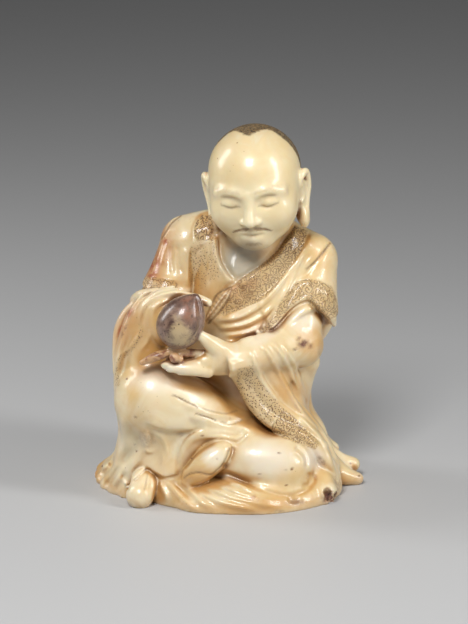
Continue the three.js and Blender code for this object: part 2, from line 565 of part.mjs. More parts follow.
// Drawn folds and cloth edges
function folds() {
  // chips in the rim
  cut(egg(front(17.6, -3, -24.4), [2.8, 1.6, 1.2]), 0.4);
  cut(egg(front(27.4, -2.4, -18.4), [1.8, 2.4, 2]), 0.5);
  // edges of the robes over the chest
  lap(FRONT, 1.4, 4, [18.6, 76], [14.5, 70], [10.5, 65], [4.5, 60.6], [-0.4, 57.6]);
  lap(FRONT, 1.1, 4, [1.6, 58], [-1, 56.9], [-3.2, 55], [-5.6, 51.8], [-7.6, 49.2], [-9.2, 46.6]);
  lap(FRONT, 0.7, 3, [22, 74], [20, 69], [17, 64.6], [13, 59], [8, 54.5], [2, 51], [-4, 48.6]);
  lap(FRONT, 1, 3, [0.3, 58.2], [-1.8, 60.2], [-3.8, 63.5], [-4.8, 67], [-5, 72]);
  lap(FRONT, 0.8, 3, [-12.6, 57], [-13, 61], [-13, 65], [-12.7, 69]);
  // soft folds that hang below the lapel
  ridge(FRONT, 1, 0.8, [-6.6, 48], [-2, 47.8], [2, 48.8], [6.8, 51.6], [11, 55.6], [15, 62]);
  ridge(FRONT, 1, 0.8, [-6, 45.6], [-1, 45.6], [4, 46.8], [8.6, 49.6], [12.6, 53.6], [16, 59.4],
      [19.6, 66.6]);
  ridge(FRONT, 1, 0.8, [-4, 42.4], [0, 42.6], [5, 43.8], [9, 46.6]);
  groove(FRONT, 0.9, 0.5, [22, 67.4], [17.6, 62], [14.6, 57.6], [11.8, 52.4], [8.6, 47.4], [6, 43.6]);
  // folds of the right shoulder
  groove(FRONT, 0.9, 0.5, [-17.8, 70], [-18, 65], [-17.6, 60]);
  // hem of the left short sleeve
  lap(FRONT, 1.1, 5, [8.6, 44.6], [11.2, 45.8], [15.6, 50.7], [18.7, 52.9], [21.6, 53.1], [25.7, 48.9],
      [28.4, 45.4]);
  // creases over the thigh and under it
  ridge(FRONT, 1.2, 0.6, [5, 19.6], [1, 20.4], [-4, 20.6], [-9, 22], [-15, 24.6]);
  lap(FRONT, 0.7, 3, [-26, 19.4], [-22.4, 17.4], [-19.4, 16.6], [-15.4, 16.4], [-12.4, 16.8],
      [-10.8, 17.8]);
  // folds that fall from the right knee to the ground
  ridge(FRONT, 1.2, 0.8, [-32, 22], [-31.6, 16], [-32, 11.6], [-35, 7], [-38.6, 4.4]);
  ridge(FRONT, 1.4, 1, [-25.8, 17.6], [-25, 14], [-26, 10.6], [-29, 6.6], [-32, 3]);
  ridge(FRONT, 1.1, 0.7, [-22.8, 17.2], [-20.6, 13.6], [-19.6, 10.4], [-20.4, 7.4], [-22.4, 5.4]);
  groove(FRONT, 1.5, 1.1, [-30, 19], [-28.6, 14.6], [-28.6, 11], [-31.4, 7.4], [-35, 3.6]);
  lap(FRONT, 0.7, 3, [-31, -0.2], [-29.4, 1.6], [-27.2, 3.8], [-25, 5.6], [-22.8, 4.2], [-20.4, 3.2],
      [-17, 3.8], [-15, 4.8]);
  // the robe's edge round the left shoe
  groove(FRONT, 0.9, 0.6, [-14.6, 4.8], [-12.6, 8.2], [-9.4, 12], [-6, 13.9], [-2, 13.7], [0.4, 13],
      [2.6, 14.4], [3.6, 16.6]);
  // gathered folds of the long sleeve
  ridge(FRONT, 0.9, 0.8, [4.2, 40.4], [5.4, 36.4], [7.6, 31], [10.6, 27], [14, 23.6]);
  ridge(FRONT, 0.9, 0.8, [6.8, 42], [9.4, 38.4], [12, 33.6], [14.6, 29], [17.6, 24], [20, 20.4],
      [24.6, 15.6], [26.4, 11]);
  ridge(FRONT, 0.9, 0.8, [9.4, 42.8], [12.6, 38.8], [15, 34.8], [17.2, 30], [19.4, 26]);
  ridge(FRONT, 0.9, 0.8, [12.6, 41.6], [15.6, 37.4], [17.8, 32.6], [19.6, 27.4], [21.6, 23]);
  // folds that sweep over the skirt's front
  const sweeps = [
    [[-5, 4.4], [-2.6, 2.8], [1, 1.2], [5, -0.6], [9, -2.2]],
    [[-5.4, 2.4], [-2.4, 0.5], [2, -1.2], [7, -2.6], [13, -3.6]],
    [[-9.4, 1], [-5.4, -0.5], [-1, -2.2], [4, -3.4], [9, -4.4], [14, -5]],
    [[-12.4, 0.2], [-8.4, -1.7], [-3.4, -3.6], [2, -4.9], [8, -5.8]],
    [[-17.6, 3.4], [-14, 0.8], [-11.6, -1.4], [-9, -3.8], [-4.6, -5.6]],
    [[-20, 2.6], [-17.4, 0], [-15, -2.6], [-12.4, -4.8], [-9, -6.4]],
  ];
  for (const line of sweeps) ridge(FRONT, 0.9, 0.9, ...line);
  // the crease under the left knee, and the fold at its end
  const crease = [[-3, 7.4], [-2.9, 5], [0, 3.3], [5, 0.8], [10, -1], [14, -1.9], [18, -1.5], [21, 0],
      [22.4, 2.4], [21.6, 5.2]];
  groove(FRONT, 0.9, 0.6, ...crease);
  groove(FRONT, 0.9, 0.8, [16.4, 11.8], [18.6, 10.8], [20.1, 8.6], [20.3, 5.6]);
}

// The robe behind, plainer: a collar, folds that sweep down from the left shoulder and the skirt's folds.
function backFolds() {
  ridge(BACK, 1.1, 0.8, [-19, 74], [-12, 77.4], [-5, 78.6], [2, 77.6], [8, 75]);
  const sweeps = [
    [[-22, 66], [-14, 62], [-4, 54], [6, 44], [13, 34]],
    [[-20.4, 59], [-12, 54], [-4, 46.4], [3, 37.6], [8, 28]],
    [[-18.6, 51], [-12, 46], [-6, 38.6], [-2, 30], [0, 22]],
    [[-17, 42], [-13, 36], [-10, 28], [-9, 20]],
    [[-12, 72], [-2, 66], [8, 57], [16, 46]],
  ];
  for (const line of sweeps) groove(BACK, 1.4, 1, ...line);
  const falls = [
    [[13, 34], [15, 24], [17, 14], [18.4, 4]],
    [[6, 26], [7, 17], [8, 8], [8.4, 2]],
    [[-2.4, 20], [-3, 12], [-3.6, 3]],
    [[-12, 18], [-14, 10], [-16, 3]],
    [[-20, 16], [-23, 9], [-25, 3]],
  ];
  for (const line of falls) groove(BACK, 1.6, 1.2, ...line);
  groove(RIGHT, 1.4, 0.9, [-8, 40], [-8.6, 30], [-7, 18], [-7, 6]);
  groove(RIGHT, 1.4, 0.9, [6, 42], [5.6, 30], [4.6, 16], [5, 4]);
  groove(RIGHT, 1.4, 0.9, [14, 34], [13, 20], [13, 8]);
  groove(LEFT, 1.5, 1, [-9, 46], [-9.6, 32], [-10.6, 18], [-12, 4]);
  groove(LEFT, 1.5, 1, [-2.6, 44], [-3, 30], [-4, 16], [-5.4, 4]);
}

function flatUnderside() {
  const all = [LOW, LOW.map((v, n) => v + COUNT[n] * GRID)];
  overBox(...all, (x, y, z, value) => Math.max(value, -z));
}

torso();
skirt();
legs();
kneeSleeve();
leftArm();
hangingSleeve();
rightArm();
folds();
leftHand();
peach();
head();
backFolds();
flatUnderside();

// Meshing: each cube of the grid is cut into six tetrahedra that share its diagonal, so the surface
// is closed.
const TETRAHEDRA = [[1, 3], [3, 2], [2, 6], [6, 4], [4, 5], [5, 1]].map(([a, b]) => [0, a, b, 7]);
function meshOf() {
  const places = [];
  const faces = [];
  const seen = new Map();
  const cornerOf = (i, j, k, n) => cellAt(i + (n & 1), j + ((n >> 1) & 1), k + (n >> 2));
  const placeOf = (c) => {
    const i = c % COUNT[0];
    const j = Math.floor(c / COUNT[0]) % COUNT[1];
    const k = Math.floor(c / (COUNT[0] * COUNT[1]));
    return [i, j, k].map((v, n) => LOW[n] + v * GRID);
  };
  const crossing = (c0, c1) => {
    const [a, b] = c0 < c1 ? [c0, c1] : [c1, c0];
    const key = a * field.length + b;
    if (!seen.has(key)) {
      const t = Math.min(0.97, Math.max(0.03, field[a] / (field[a] - field[b])));
      const pa = placeOf(a);
      seen.set(key, places.push(addScaled(pa, sub(placeOf(b), pa), t)) - 1);
    }
    return seen.get(key);
  };
  const face = (a, b, c, inside, outside) => {
    const normal = cross(sub(places[b], places[a]), sub(places[c], places[a]));
    const out = dot(normal, sub(placeOf(outside), placeOf(inside))) > 0;
    faces.push(out ? [a, b, c] : [a, c, b]);
  };
  for (let k = 0; k < COUNT[2] - 1; k++)
    for (let j = 0; j < COUNT[1] - 1; j++)
      for (let i = 0; i < COUNT[0] - 1; i++) {
        const inCube = [0, 1, 2, 3, 4, 5, 6, 7].map((n) => field[cornerOf(i, j, k, n)] < 0);
        if (inCube.every(Boolean) || !inCube.some(Boolean)) continue;
        for (const tetrahedron of TETRAHEDRA) {
          const inside = tetrahedron.filter((n) => inCube[n]).map((n) => cornerOf(i, j, k, n));
          const outside = tetrahedron.filter((n) => !inCube[n]).map((n) => cornerOf(i, j, k, n));
          if (!inside.length || !outside.length) continue;
          const pairs = inside.flatMap((a) => outside.map((b) => crossing(a, b)));
          face(pairs[0], pairs[1], pairs[2], inside[0], outside[0]);
          if (pairs.length === 4) face(pairs[1], pairs[3], pairs[2], inside[0], outside[0]);
        }
      }
  return { places, faces };
}

// Thinning: the edges whose loss changes the surface least are collapsed first, until few enough
// faces are left.
const FLIP = 0.2; // least cosine between a face's normal before and after a collapse
const SLIVER = 1e-3; // weight that keeps collapses short where the surface is flat
function thin({ places, faces }, target, weightAt) {
  const quadric = places.map(() => new Float64Array(10));
  const around = places.map(() => new Set());
  const normalOf = (f, swap = -1, p = null) => {
    const [a, b, c] = f.map((v) => (v === swap ? p : places[v]));
    return cross(sub(b, a), sub(c, a));
  };
  faces.forEach((f, n) => {
    const raw = normalOf(f);
    const area = Math.hypot(...raw);
    const normal = raw.map((v) => v / (area || 1));
    const plane = [...normal, -dot(normal, places[f[0]])];
    const weight = area * weightAt(places[f[0]]);
    for (const v of f) {
      around[v].add(n);
      let at = 0;
      for (let r = 0; r < 4; r++)
        for (let c = r; c < 4; c++)
          quadric[v][at++] += weight * plane[r] * plane[c];
    }
  });
  const costAt = (q, [x, y, z]) =>
    q[0] * x * x + 2 * q[1] * x * y + 2 * q[2] * x * z + 2 * q[3] * x + q[4] * y * y +
    2 * q[5] * y * z + 2 * q[6] * y + q[7] * z * z + 2 * q[8] * z + q[9];
  const bestPlace = (u, v) => {
    const q = quadric[u].map((a, n) => a + quadric[v][n]);
    const m = new THREE.Matrix3().set(q[0], q[1], q[2], q[1], q[4], q[5], q[2], q[5], q[7]);
    const middle = places[u].map((a, n) => (a + places[v][n]) / 2);
    const choices = [places[u], places[v], middle];
    const length = Math.hypot(...sub(places[u], places[v]));
    if (Math.abs(m.determinant()) > 1e-4 * (q[0] + q[4] + q[7]) ** 3) {
      const p = new THREE.Vector3(-q[3], -q[6], -q[8]).applyMatrix3(m.invert()).toArray();
      if (Math.hypot(...sub(p, middle)) < length) choices.push(p);
    }
    const costs = choices.map((p) => costAt(q, p));
    const n = costs.indexOf(Math.min(...costs));
    return { place: choices[n], cost: Math.max(0, costs[n]) + SLIVER * length ** 3 };
  };
  const heap = [];
  const swap = (i, j) => ([heap[i], heap[j]] = [heap[j], heap[i]]);
  const push = (item) => {
    let i = heap.push(item) - 1;
    for (let up = (i - 1) >> 1; i && heap[up].cost > heap[i].cost; i = up, up = (i - 1) >> 1) swap(i, up);
  };
  const pop = () => {
    const top = heap[0];
    const last = heap.pop();
    if (!heap.length) return top;
    heap[0] = last;
    for (let i = 0; ; ) {
      let least = i;
      for (const down of [2 * i + 1, 2 * i + 2])
        if (down < heap.length && heap[down].cost < heap[least].cost) least = down;
      if (least === i) return top;
      swap(i, least);
      i = least;
    }
  };
  const age = new Uint32Array(places.length);
  const neighbours = (v) => new Set([...around[v]].flatMap((n) => faces[n]).filter((w) => w !== v));
  const offer = (u, v) => push({ u, v, ageU: age[u], ageV: age[v], ...bestPlace(u, v) });
  places.forEach((_, u) => neighbours(u).forEach((v) => u < v && offer(u, v)));
  let left = faces.length;
  while (left > target && heap.length) {
    const { u, v, ageU, ageV, place } = pop();
    if (age[u] !== ageU || age[v] !== ageV || !around[u].size || !around[v].size) continue;
    const near = neighbours(v);
    if ([...neighbours(u)].filter((w) => near.has(w)).length !== 2) continue;
    const shared = [...around[u]].filter((n) => around[v].has(n));
    const kept = (w) => [...around[w]].filter((n) => !shared.includes(n));
    const turns = (w) =>
      kept(w).some((n) => {
        const [before, after] = [normalOf(faces[n]), normalOf(faces[n], w, place)];
        const size = Math.hypot(...after);
        return dot(before, after) < FLIP * Math.hypot(...before) * size || size < 1e-6;
      });
    if (turns(u) || turns(v)) continue;
    for (const n of shared) for (const w of faces[n]) around[w].delete(n);
    left -= shared.length;
    for (const n of around[v]) {
      faces[n] = faces[n].map((w) => (w === v ? u : w));
      around[u].add(n);
    }
    around[v] = new Set();
    places[u] = place;
    quadric[v].forEach((a, n) => (quadric[u][n] += a));
    age[u]++;
    age[v]++;
    neighbours(u).forEach((w) => offer(u, w));
  }
  const alive = new Set();
  around.forEach((set) => set.forEach((n) => alive.add(n)));
  return { places, faces: [...alive].map((n) => faces[n]) };
}

// The face and the hands keep more of their faces than the robe does.
function detailWeight([x, y, z]) {
  const face = dot(sub([x, y, z], HEAD.centre), headAxes[1]) < 6 && z > 70;
  const hands = y < -12 && z > 36 && z < 62 && x < 2;
  return face || hands ? DETAIL_WEIGHT : 1;
}

const carved = thin(meshOf(), FACES, detailWeight);
const FLATNESS = 0.05; // underside points within this of the ground are set exactly on it
const used = [...new Set(carved.faces.flat())];
const numberOf = new Map(used.map((v, n) => [v, n]));
const geometry = new THREE.BufferGeometry();
geometry.setAttribute(
  "position",
  new THREE.Float32BufferAttribute(
    used.flatMap((v) => carved.places[v].map((c, n) => (n === 2 && c < FLATNESS ? 0 : c))),
    3,
  ),
);
geometry.setIndex(carved.faces.flat().map((v) => numberOf.get(v)));
geometry.computeVertexNormals();

const soapstone = new THREE.MeshStandardMaterial({ color: 0xdcc596, roughness: 0.32, metalness: 0 });
const luohan = new THREE.Mesh(geometry, soapstone);
luohan.name = "luohan_figure";

const figure = new THREE.Group();
figure.add(luohan);
export default figure;
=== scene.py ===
"""A seated luohan holding a peach, carved from one block of pale soapstone, on a plain floor.

The stone is a field of signed distances in millimetres: soft-joined forms give the body, and strokes drawn
on it give folds, hems and engraving. Its zero surface becomes the mesh. +X is to the viewer's right, -Y to
the front.
"""

import math
from itertools import product

import bpy
import numpy as np
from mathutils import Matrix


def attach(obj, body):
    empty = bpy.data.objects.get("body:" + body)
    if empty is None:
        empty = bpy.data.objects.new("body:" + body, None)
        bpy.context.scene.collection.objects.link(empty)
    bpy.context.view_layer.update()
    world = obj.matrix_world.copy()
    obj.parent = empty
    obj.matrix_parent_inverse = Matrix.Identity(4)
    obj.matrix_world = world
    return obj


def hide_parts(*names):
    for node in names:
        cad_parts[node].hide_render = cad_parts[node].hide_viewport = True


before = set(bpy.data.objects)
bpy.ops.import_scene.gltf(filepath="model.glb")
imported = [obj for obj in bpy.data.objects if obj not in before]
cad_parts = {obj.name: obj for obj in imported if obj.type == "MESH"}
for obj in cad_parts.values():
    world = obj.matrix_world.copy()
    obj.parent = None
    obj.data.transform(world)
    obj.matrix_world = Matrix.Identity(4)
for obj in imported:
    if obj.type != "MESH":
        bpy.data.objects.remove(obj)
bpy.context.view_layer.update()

# Sizes, in millimetres
MM = 0.001
LOW = np.array([-44.0, -31.0, -2.0])
HIGH = np.array([42.0, 33.0, 109.5])
GRID = 0.42  # spacing of the field's samples
MARGIN = 8.5  # how far around a form the field is kept right
FAR = 20.0
FRONT_TILT = 15.0  # the front drawing looks down by this many degrees
SPAN_STEPS = 6  # straight pieces for each curved span
TRIANGLES = 190000  # kept in the finished mesh
HEM_ROUND = 0.6
EDGE = 0.4  # half the width of a cloth edge's step
FOOT = 0.12  # points lower than this are set on the ground

HEAD_CENTRE = np.array([5.7, -2.0, 90.0])
HEAD_YAW, HEAD_PITCH, HEAD_ROLL = -8.0, 12.0, -4.5
PEACH = [(-15.6, 46.2, -20, 6.55), (-14.2, 48.6, -20, 5.9), (-12, 52.2, -20.4, 2.9), (-10.9, 54.2, -20.6, 1)]

COUNT = np.ceil((HIGH - LOW) / GRID).astype(int) + 1
AXES = [LOW[n] + GRID * np.arange(COUNT[n]) for n in range(3)]
field = np.full(COUNT[::-1], FAR, np.float32)


def unit(v):
    v = np.asarray(v, float)
    return v / np.linalg.norm(v)


def smooth01(t):
    t = np.clip(t, 0, 1)
    return t * t * (3 - 2 * t)


def bump(distance, width):
    return np.exp(-((distance / width) ** 2))


# The field kit


def span(low, high):
    """The slices of the field for a box, and its coordinates as broadcast arrays."""
    start = np.clip(np.ceil((np.asarray(low) - LOW) / GRID), 0, COUNT - 1).astype(int)
    stop = np.clip(np.floor((np.asarray(high) - LOW) / GRID) + 1, start, COUNT).astype(int)
    x, y, z = (AXES[n][start[n] : stop[n]] for n in range(3))
    where = tuple(slice(start[n], stop[n]) for n in (2, 1, 0))
    return where, (x[None, None, :], y[None, :, None], z[:, None, None])


def soft_min(a, b, blend):
    h = np.maximum(blend - np.abs(a - b), 0) / blend
    return np.minimum(a, b) - h * h * blend / 4


def join(form, blend):
    """Adds a form to the stone, its joint filled to about the blend's size."""
    where, distance = form.measure(max(MARGIN, blend + 2 * GRID))
    field[where] = soft_min(field[where], distance, blend)


def cut(form, blend):
    where, distance = form.measure(blend + 2 * GRID)
    field[where] = -soft_min(-field[where], distance, blend)


class Egg:
    """An ellipsoid; axes are the rows of its own directions."""

    def __init__(self, centre, radii, axes=None):
        self.centre, self.radii = np.asarray(centre, float)[:3], np.asarray(radii, float)
        self.axes = np.eye(3) if axes is None else np.asarray(axes)
        reach = self.radii if axes is None else np.full(3, self.radii.max())
        self.low, self.high = self.centre - reach, self.centre + reach

    def measure(self, margin):
        where, coordinates = span(self.low - margin, self.high + margin)
        q = [c - m for c, m in zip(coordinates, self.centre)]
        p = [sum(axis[n] * q[n] for n in range(3)) for axis in self.axes]
        k0 = np.sqrt(sum((p[n] / self.radii[n]) ** 2 for n in range(3)))
        k1 = np.sqrt(sum((p[n] / self.radii[n] ** 2) ** 2 for n in range(3)))
        return where, np.where(k1 < 1e-6, -self.radii.min(), k0 * (k0 - 1) / np.maximum(k1, 1e-6))


def curve_through(points, steps=SPAN_STEPS):
    """A smooth curve through points of any number of values each."""
    points = np.asarray(points, float)
    out = []
    for i in range(len(points) - 1):
        a, b, c, d = (points[min(len(points) - 1, max(0, i + n))] for n in (-1, 0, 1, 2))
        for t in np.arange(steps) / steps:
            curve = b + t * (c - a) / 2 + t * t * (a - 2.5 * b + 2 * c - d / 2)
            out.append(curve + t * t * t * (1.5 * (b - c) + (d - a) / 2))
    return np.array([*out, points[-1]])


class Limb:
    """A rounded limb along a spine of (x, y, z, radius), thinner by thin times in the direction of flat."""

    TAPER = 0.9  # most radius that a limb may gain for each millimetre of its length

    def __init__(self, points, flat=None, thin=1.0):
        self.spine = curve_through(points)
        self.flat, self.thin = flat, thin
        most = self.spine[:, 3].max()
        self.low, self.high = self.spine[:, :3].min(0) - most, self.spine[:, :3].max(0) + most

    def squeeze(self, p):
        if self.flat is None:
            return p
        along = sum(self.flat[n] * p[n] for n in range(3))
        return [p[n] + self.flat[n] * (self.thin - 1) * along for n in range(3)]

    def measure(self, margin):
        where, (x, y, z) = span(self.low - margin, self.high + margin)
        out = np.full((z.size, y.size, x.size), FAR, np.float32)
        for start, end in zip(self.spine[:-1], self.spine[1:]):
            r0, r1 = start[3], end[3]
            reach = max(r0, r1) + margin
            part = span(np.minimum(start[:3], end[:3]) - reach, np.maximum(start[:3], end[:3]) + reach)[0]
            inner = tuple(
                slice(max(0, s.start - w.start), max(0, min(s.stop - w.start, n)))
                for s, w, n in zip(part, where, out.shape)
            )
            p = self.squeeze((x[:, :, inner[2]], y[:, inner[1], :], z[inner[0], :, :]))
            a = np.array(self.squeeze(start[:3]))
            along = np.array(self.squeeze(end[:3])) - a
            length = max(np.linalg.norm(along), 1e-6)
            slope = np.clip((r1 - r0) / length, -Limb.TAPER, Limb.TAPER)
            q = [p[n] - a[n] for n in range(3)]
            flat_t = sum(q[n] * along[n] for n in range(3)) / length**2
            aside2 = sum(q[n] ** 2 for n in range(3)) - (flat_t * length) ** 2
            lean = np.sqrt(np.maximum(aside2, 0)) * slope / math.sqrt(1 - slope**2) / length
            t = np.clip(flat_t + lean, 0, 1)
            distance = np.sqrt(sum((q[n] - t * along[n]) ** 2 for n in range(3))) - r0 - t * (r1 - r0)
            out[inner] = np.minimum(out[inner], distance)
        return where, out if self.flat is None else out / math.sqrt(self.thin)


class Kept:
    """The part of a form on the side of a plane that its normal points to."""

    def __init__(self, form, point, normal):
        self.form, self.point, self.normal = form, point, unit(normal)

    def measure(self, margin):
        where, distance = self.form.measure(margin)
        x, y, z = (self.normal[n] * (AXES[n][where[2 - n]] - self.point[n]) for n in range(3))
        return where, -soft_min(-distance, x[None, None, :] + y[None, :, None] + z[:, None, None], HEM_ROUND)


def field_at(points):
    """The field at any points, by linear interpolation."""
    g = np.clip((points - LOW) / GRID, 0, COUNT - 1.001)
    i = g.astype(int)
    f = g - i
    total = 0
    for corner in product((0, 1), repeat=3):
        weight = np.prod([f[..., n] if corner[n] else 1 - f[..., n] for n in range(3)], axis=0)
        total = total + weight * field[i[..., 2] + corner[2], i[..., 1] + corner[1], i[..., 0] + corner[0]]
    return total


def gradient_at(points, step):
    offsets = step * np.eye(3)
    return np.stack([(field_at(points + o) - field_at(points - o)) / (2 * step) for o in offsets], axis=-1)


# Drawings: flat views of the figure that strokes are drawn on

SIGHT = 75  # how far before and behind the drawing the stone is looked for
HALVINGS = 6  # that bring a line of sight onto the surface
STEEPEST = 2.5  # depth a stroke may gain for each millimetre drawn
JUMP = 0.5  # depth it may gain beyond that
DEPTH_SHARE = 0.3  # how much depth counts beside the drawn directions
SHORTEST = 6  # points in the shortest run that is kept
LONGEST_FADE = 0.35  # share of a run that may fade at each end
BEHIND = 3.5  # depth beyond its reach at which a stroke has no effect
BEHIND_FADE = 2  # depth over which it fades there
SMOOTHINGS = 6


class Drawing:
    def __init__(self, across, up, origin=(0, 0, 0)):
        self.across, self.up, self.origin = np.asarray(across), np.asarray(up), np.asarray(origin, float)
        self.towards = np.cross(self.across, self.up)

    def on_stone(self, points):
        """Where the lines of sight through the drawn points meet the stone; nan where they miss it."""
        points = np.asarray(points)
        foot = self.origin + points[:, :1] * self.across + points[:, 1:2] * self.up
        depths = np.arange(SIGHT, -SIGHT, -GRID / 2)
        inside = field_at(foot[:, None] + depths[:, None] * self.towards) < 0
        inner = depths[inside.argmax(1)]
        outer = inner + GRID / 2
        for _ in range(HALVINGS):
            middle = (inner + outer) / 2
            within = field_at(foot + middle[:, None] * self.towards) < 0
            inner, outer = np.where(within, middle, inner), np.where(within, outer, middle)
        return np.where(inside.any(1)[:, None], foot + outer[:, None] * self.towards, np.nan)

    def drawn(self, points):
        """Points across and up the drawing, and their reduced depth."""
        return points @ np.stack([self.across, self.up, DEPTH_SHARE * self.towards], axis=1)


def drawing_from(azimuth, elevation):
    a, e = math.radians(azimuth), math.radians(elevation)
    across = np.array([math.cos(a), math.sin(a), 0])
    towards = np.array([math.sin(a) * math.cos(e), -math.cos(a) * math.cos(e), math.sin(e)])
    return Drawing(across, np.cross(towards, across))


FRONT = drawing_from(0, FRONT_TILT)
BACK, LEFT, RIGHT = (drawing_from(azimuth, 0) for azimuth in (180, -90, 90))


def front(across, up, depth, *rest):
    """The place in the figure of a point of the front drawing at a given depth, with any radius after it."""
    e = math.radians(FRONT_TILT)
    return (across, depth, (up - depth * math.sin(e)) / math.cos(e), *rest)


def limb(blend, points, **flattened):
    join(Limb(points, **flattened), blend)


def roll(blend, points, **flattened):
    """A limb along points of the front drawing."""
    limb(blend, [front(*p) for p in points], **flattened)


def stroke_on_stone(view, points):
    """The runs of points where a drawn curve lies on the stone, broken where its depth jumps."""
    placed = view.on_stone(curve_through(points, 3 * SPAN_STEPS))
    runs = [[]]
    for p in placed[~np.isnan(placed[:, 0])]:
        if runs[-1]:
            step = p - runs[-1][-1]
            gained = abs(step @ view.towards)
            if gained > STEEPEST * math.sqrt(max(0, step @ step - gained**2)) + JUMP:
                runs.append([])
        runs[-1].append(p)
    out = []
    for run in runs:
        if len(run) >= SHORTEST:
            run = np.array(run)
            for _ in range(SMOOTHINGS):
                run[1:-1] = (run[:-2] + 2 * run[1:-1] + run[2:]) / 4
            out.append(np.concatenate([run[:-1:3], run[-1:]]))
    return out


def near_run(run, p):
    """Where points p lie beside a run, both as drawn: distance, signed distance to its left, way along it and
    full depth from it; and the way's whole length.

    The reduced depth keeps a stroke even where it crosses a fold.
    """
    best = np.full(len(p), 1e9)
    side, way, behind = (np.zeros(len(p)) for _ in range(3))
    gone = 0
    for start, end in zip(run[:-1], run[1:]):
        along = end - start
        length = math.hypot(along[0], along[1])
        q = p - start
        t = np.clip(q @ along / max(along @ along, 1e-9), 0, 1)
        off = q - t[:, None] * along
        away = (off * off).sum(1)
        nearer = away < best
        best = np.where(nearer, away, best)
        turned = (along[0] * q[:, 1] - along[1] * q[:, 0]) / max(length, 1e-9)
        side = np.where(nearer, np.copysign(np.hypot(off[:, 0], off[:, 1]), turned), side)
        way = np.where(nearer, gone + t * length, way)
        behind = np.where(nearer, np.abs(off[:, 2]) / DEPTH_SHARE, behind)
        gone += length
    return np.sqrt(best), side, way, behind, gone


def along_stroke(view, points, reach, shape, ends):
    """Moves the surface near a stroke in by shape(distance, side) millimetres, less and less at its ends."""
    runs = stroke_on_stone(view, points)
    for run in runs:
        where, (x, y, z) = span(run.min(0) - 1.5 * reach, run.max(0) + 1.5 * reach)
        values = field[where]
        pick = np.nonzero(np.abs(values) < reach)
        p = np.stack([x.ravel()[pick[2]], y.ravel()[pick[1]], z.ravel()[pick[0]]], axis=1)
        away, side, way, behind, whole = near_run(view.drawn(run), view.drawn(p))
        fade = min(ends, LONGEST_FADE * whole)
        taper = smooth01(np.minimum(way, whole - way) / fade)
        taper = taper * smooth01((reach + BEHIND - behind) / BEHIND_FADE)
        values[pick] += np.where(away < reach, taper * shape(away, side), 0)
    return runs


def groove(width, depth, *points, ends=2.5, view=FRONT):
    return along_stroke(view, points, 3 * width, lambda away, side: depth * bump(away, width), ends)


def ridge(width, height, *points, ends=2.5, view=FRONT):
    groove(width, -height, *points, ends=ends, view=view)


def lap(height, fade, *points, ends=2.5):
    """The edge of a layer of cloth: the left of the stroke is raised and sinks back over the fade."""

    def shape(away, side):
        raised = smooth01((side + EDGE) / (2 * EDGE)) * bump(np.maximum(side, 0), fade)
        foot = bump(side + 2 * EDGE, 2 * EDGE) * bump(away, fade)
        return height * (0.5 * foot - raised * bump(np.maximum(away - fade, 0), fade))

    along_stroke(FRONT, points, 2 * fade, shape, ends)


engraved = []  # (view, run, pigment) of every engraved line


def engrave(*points, width=0.5, depth=0.35, pigment=1.0, view=FRONT):
    """A fine cut line that holds brown pigment."""
    engraved.extend((view, run, pigment) for run in groove(width, depth, *points, ends=1.2, view=view))


bands = []  # (middle line, half width, depth, scrolls, fade) of every ornamented border


def band(*edges, scrolls=1.0, fade=0.4, steps=60):
    """An ornamented border between two drawn edges, its share of scrolls and the length it fades over."""
    share = np.linspace(0, 1, steps)
    ends = []
    for edge in edges:
        edge = curve_through(edge, 12)
        even = np.linspace(0, 1, len(edge))
        ends.append(np.stack([np.interp(share, even, edge[:, n]) for n in (0, 1)], axis=1))
    middle = (ends[0] + ends[1]) / 2
    half = np.linalg.norm(ends[0] - ends[1], axis=1) / 2
    depth = FRONT.on_stone(middle) @ FRONT.towards
    good = ~np.isnan(depth)
    depth = np.interp(share, share[good], depth[good])
    for _ in range(SMOOTHINGS + 2):
        depth[1:-1] = (depth[:-2] + 2 * depth[1:-1] + depth[2:]) / 4
    bands.append((middle, half, depth, scrolls, fade))


# The head's own frame: x to its left, y to the back, z up


def turn(axis, degrees):
    c, s = math.cos(math.radians(degrees)), math.sin(math.radians(degrees))
    i, j = [(1, 2), (2, 0), (0, 1)][axis]
    m = np.eye(3)
    m[i, i] = m[j, j] = c
    m[i, j], m[j, i] = -s, s
    return m


HEAD_AXES = (turn(2, HEAD_YAW) @ turn(0, HEAD_PITCH) @ turn(1, HEAD_ROLL)).T
FACE = Drawing(HEAD_AXES[0], HEAD_AXES[2], HEAD_CENTRE)


def in_head(x, y, z, *rest):
    return (*(HEAD_CENTRE + x * HEAD_AXES[0] + y * HEAD_AXES[1] + z * HEAD_AXES[2]), *rest)


# The body under the robe


def torso():
    join(Egg([3, 9, 11], [23, 19, 12.5]), 2)
    join(Egg([4, 4, 32], [18.5, 14, 21]), 8)
    join(Egg([4, 6, 55], [18.5, 13, 20]), 8)
    join(Egg([-12, 5, 38], [8, 9, 18]), 4)
    limb(6, [(4, 8, 46, 11), (4, 11, 28, 14), (4, 12.5, 14, 16)])
    limb(5, [(-13.8, 7.5, 71, 7.4), (3, 9, 73, 7.5), (21.5, 7, 65.5, 7.8)])
    limb(2, [(4.5, 5.5, 70, 7.6), (6, 1, 80, 7.2)])
    cut(Egg(front(3.2, 65, -9.6), [6.8, 6.4, 6.8]), 1.5)


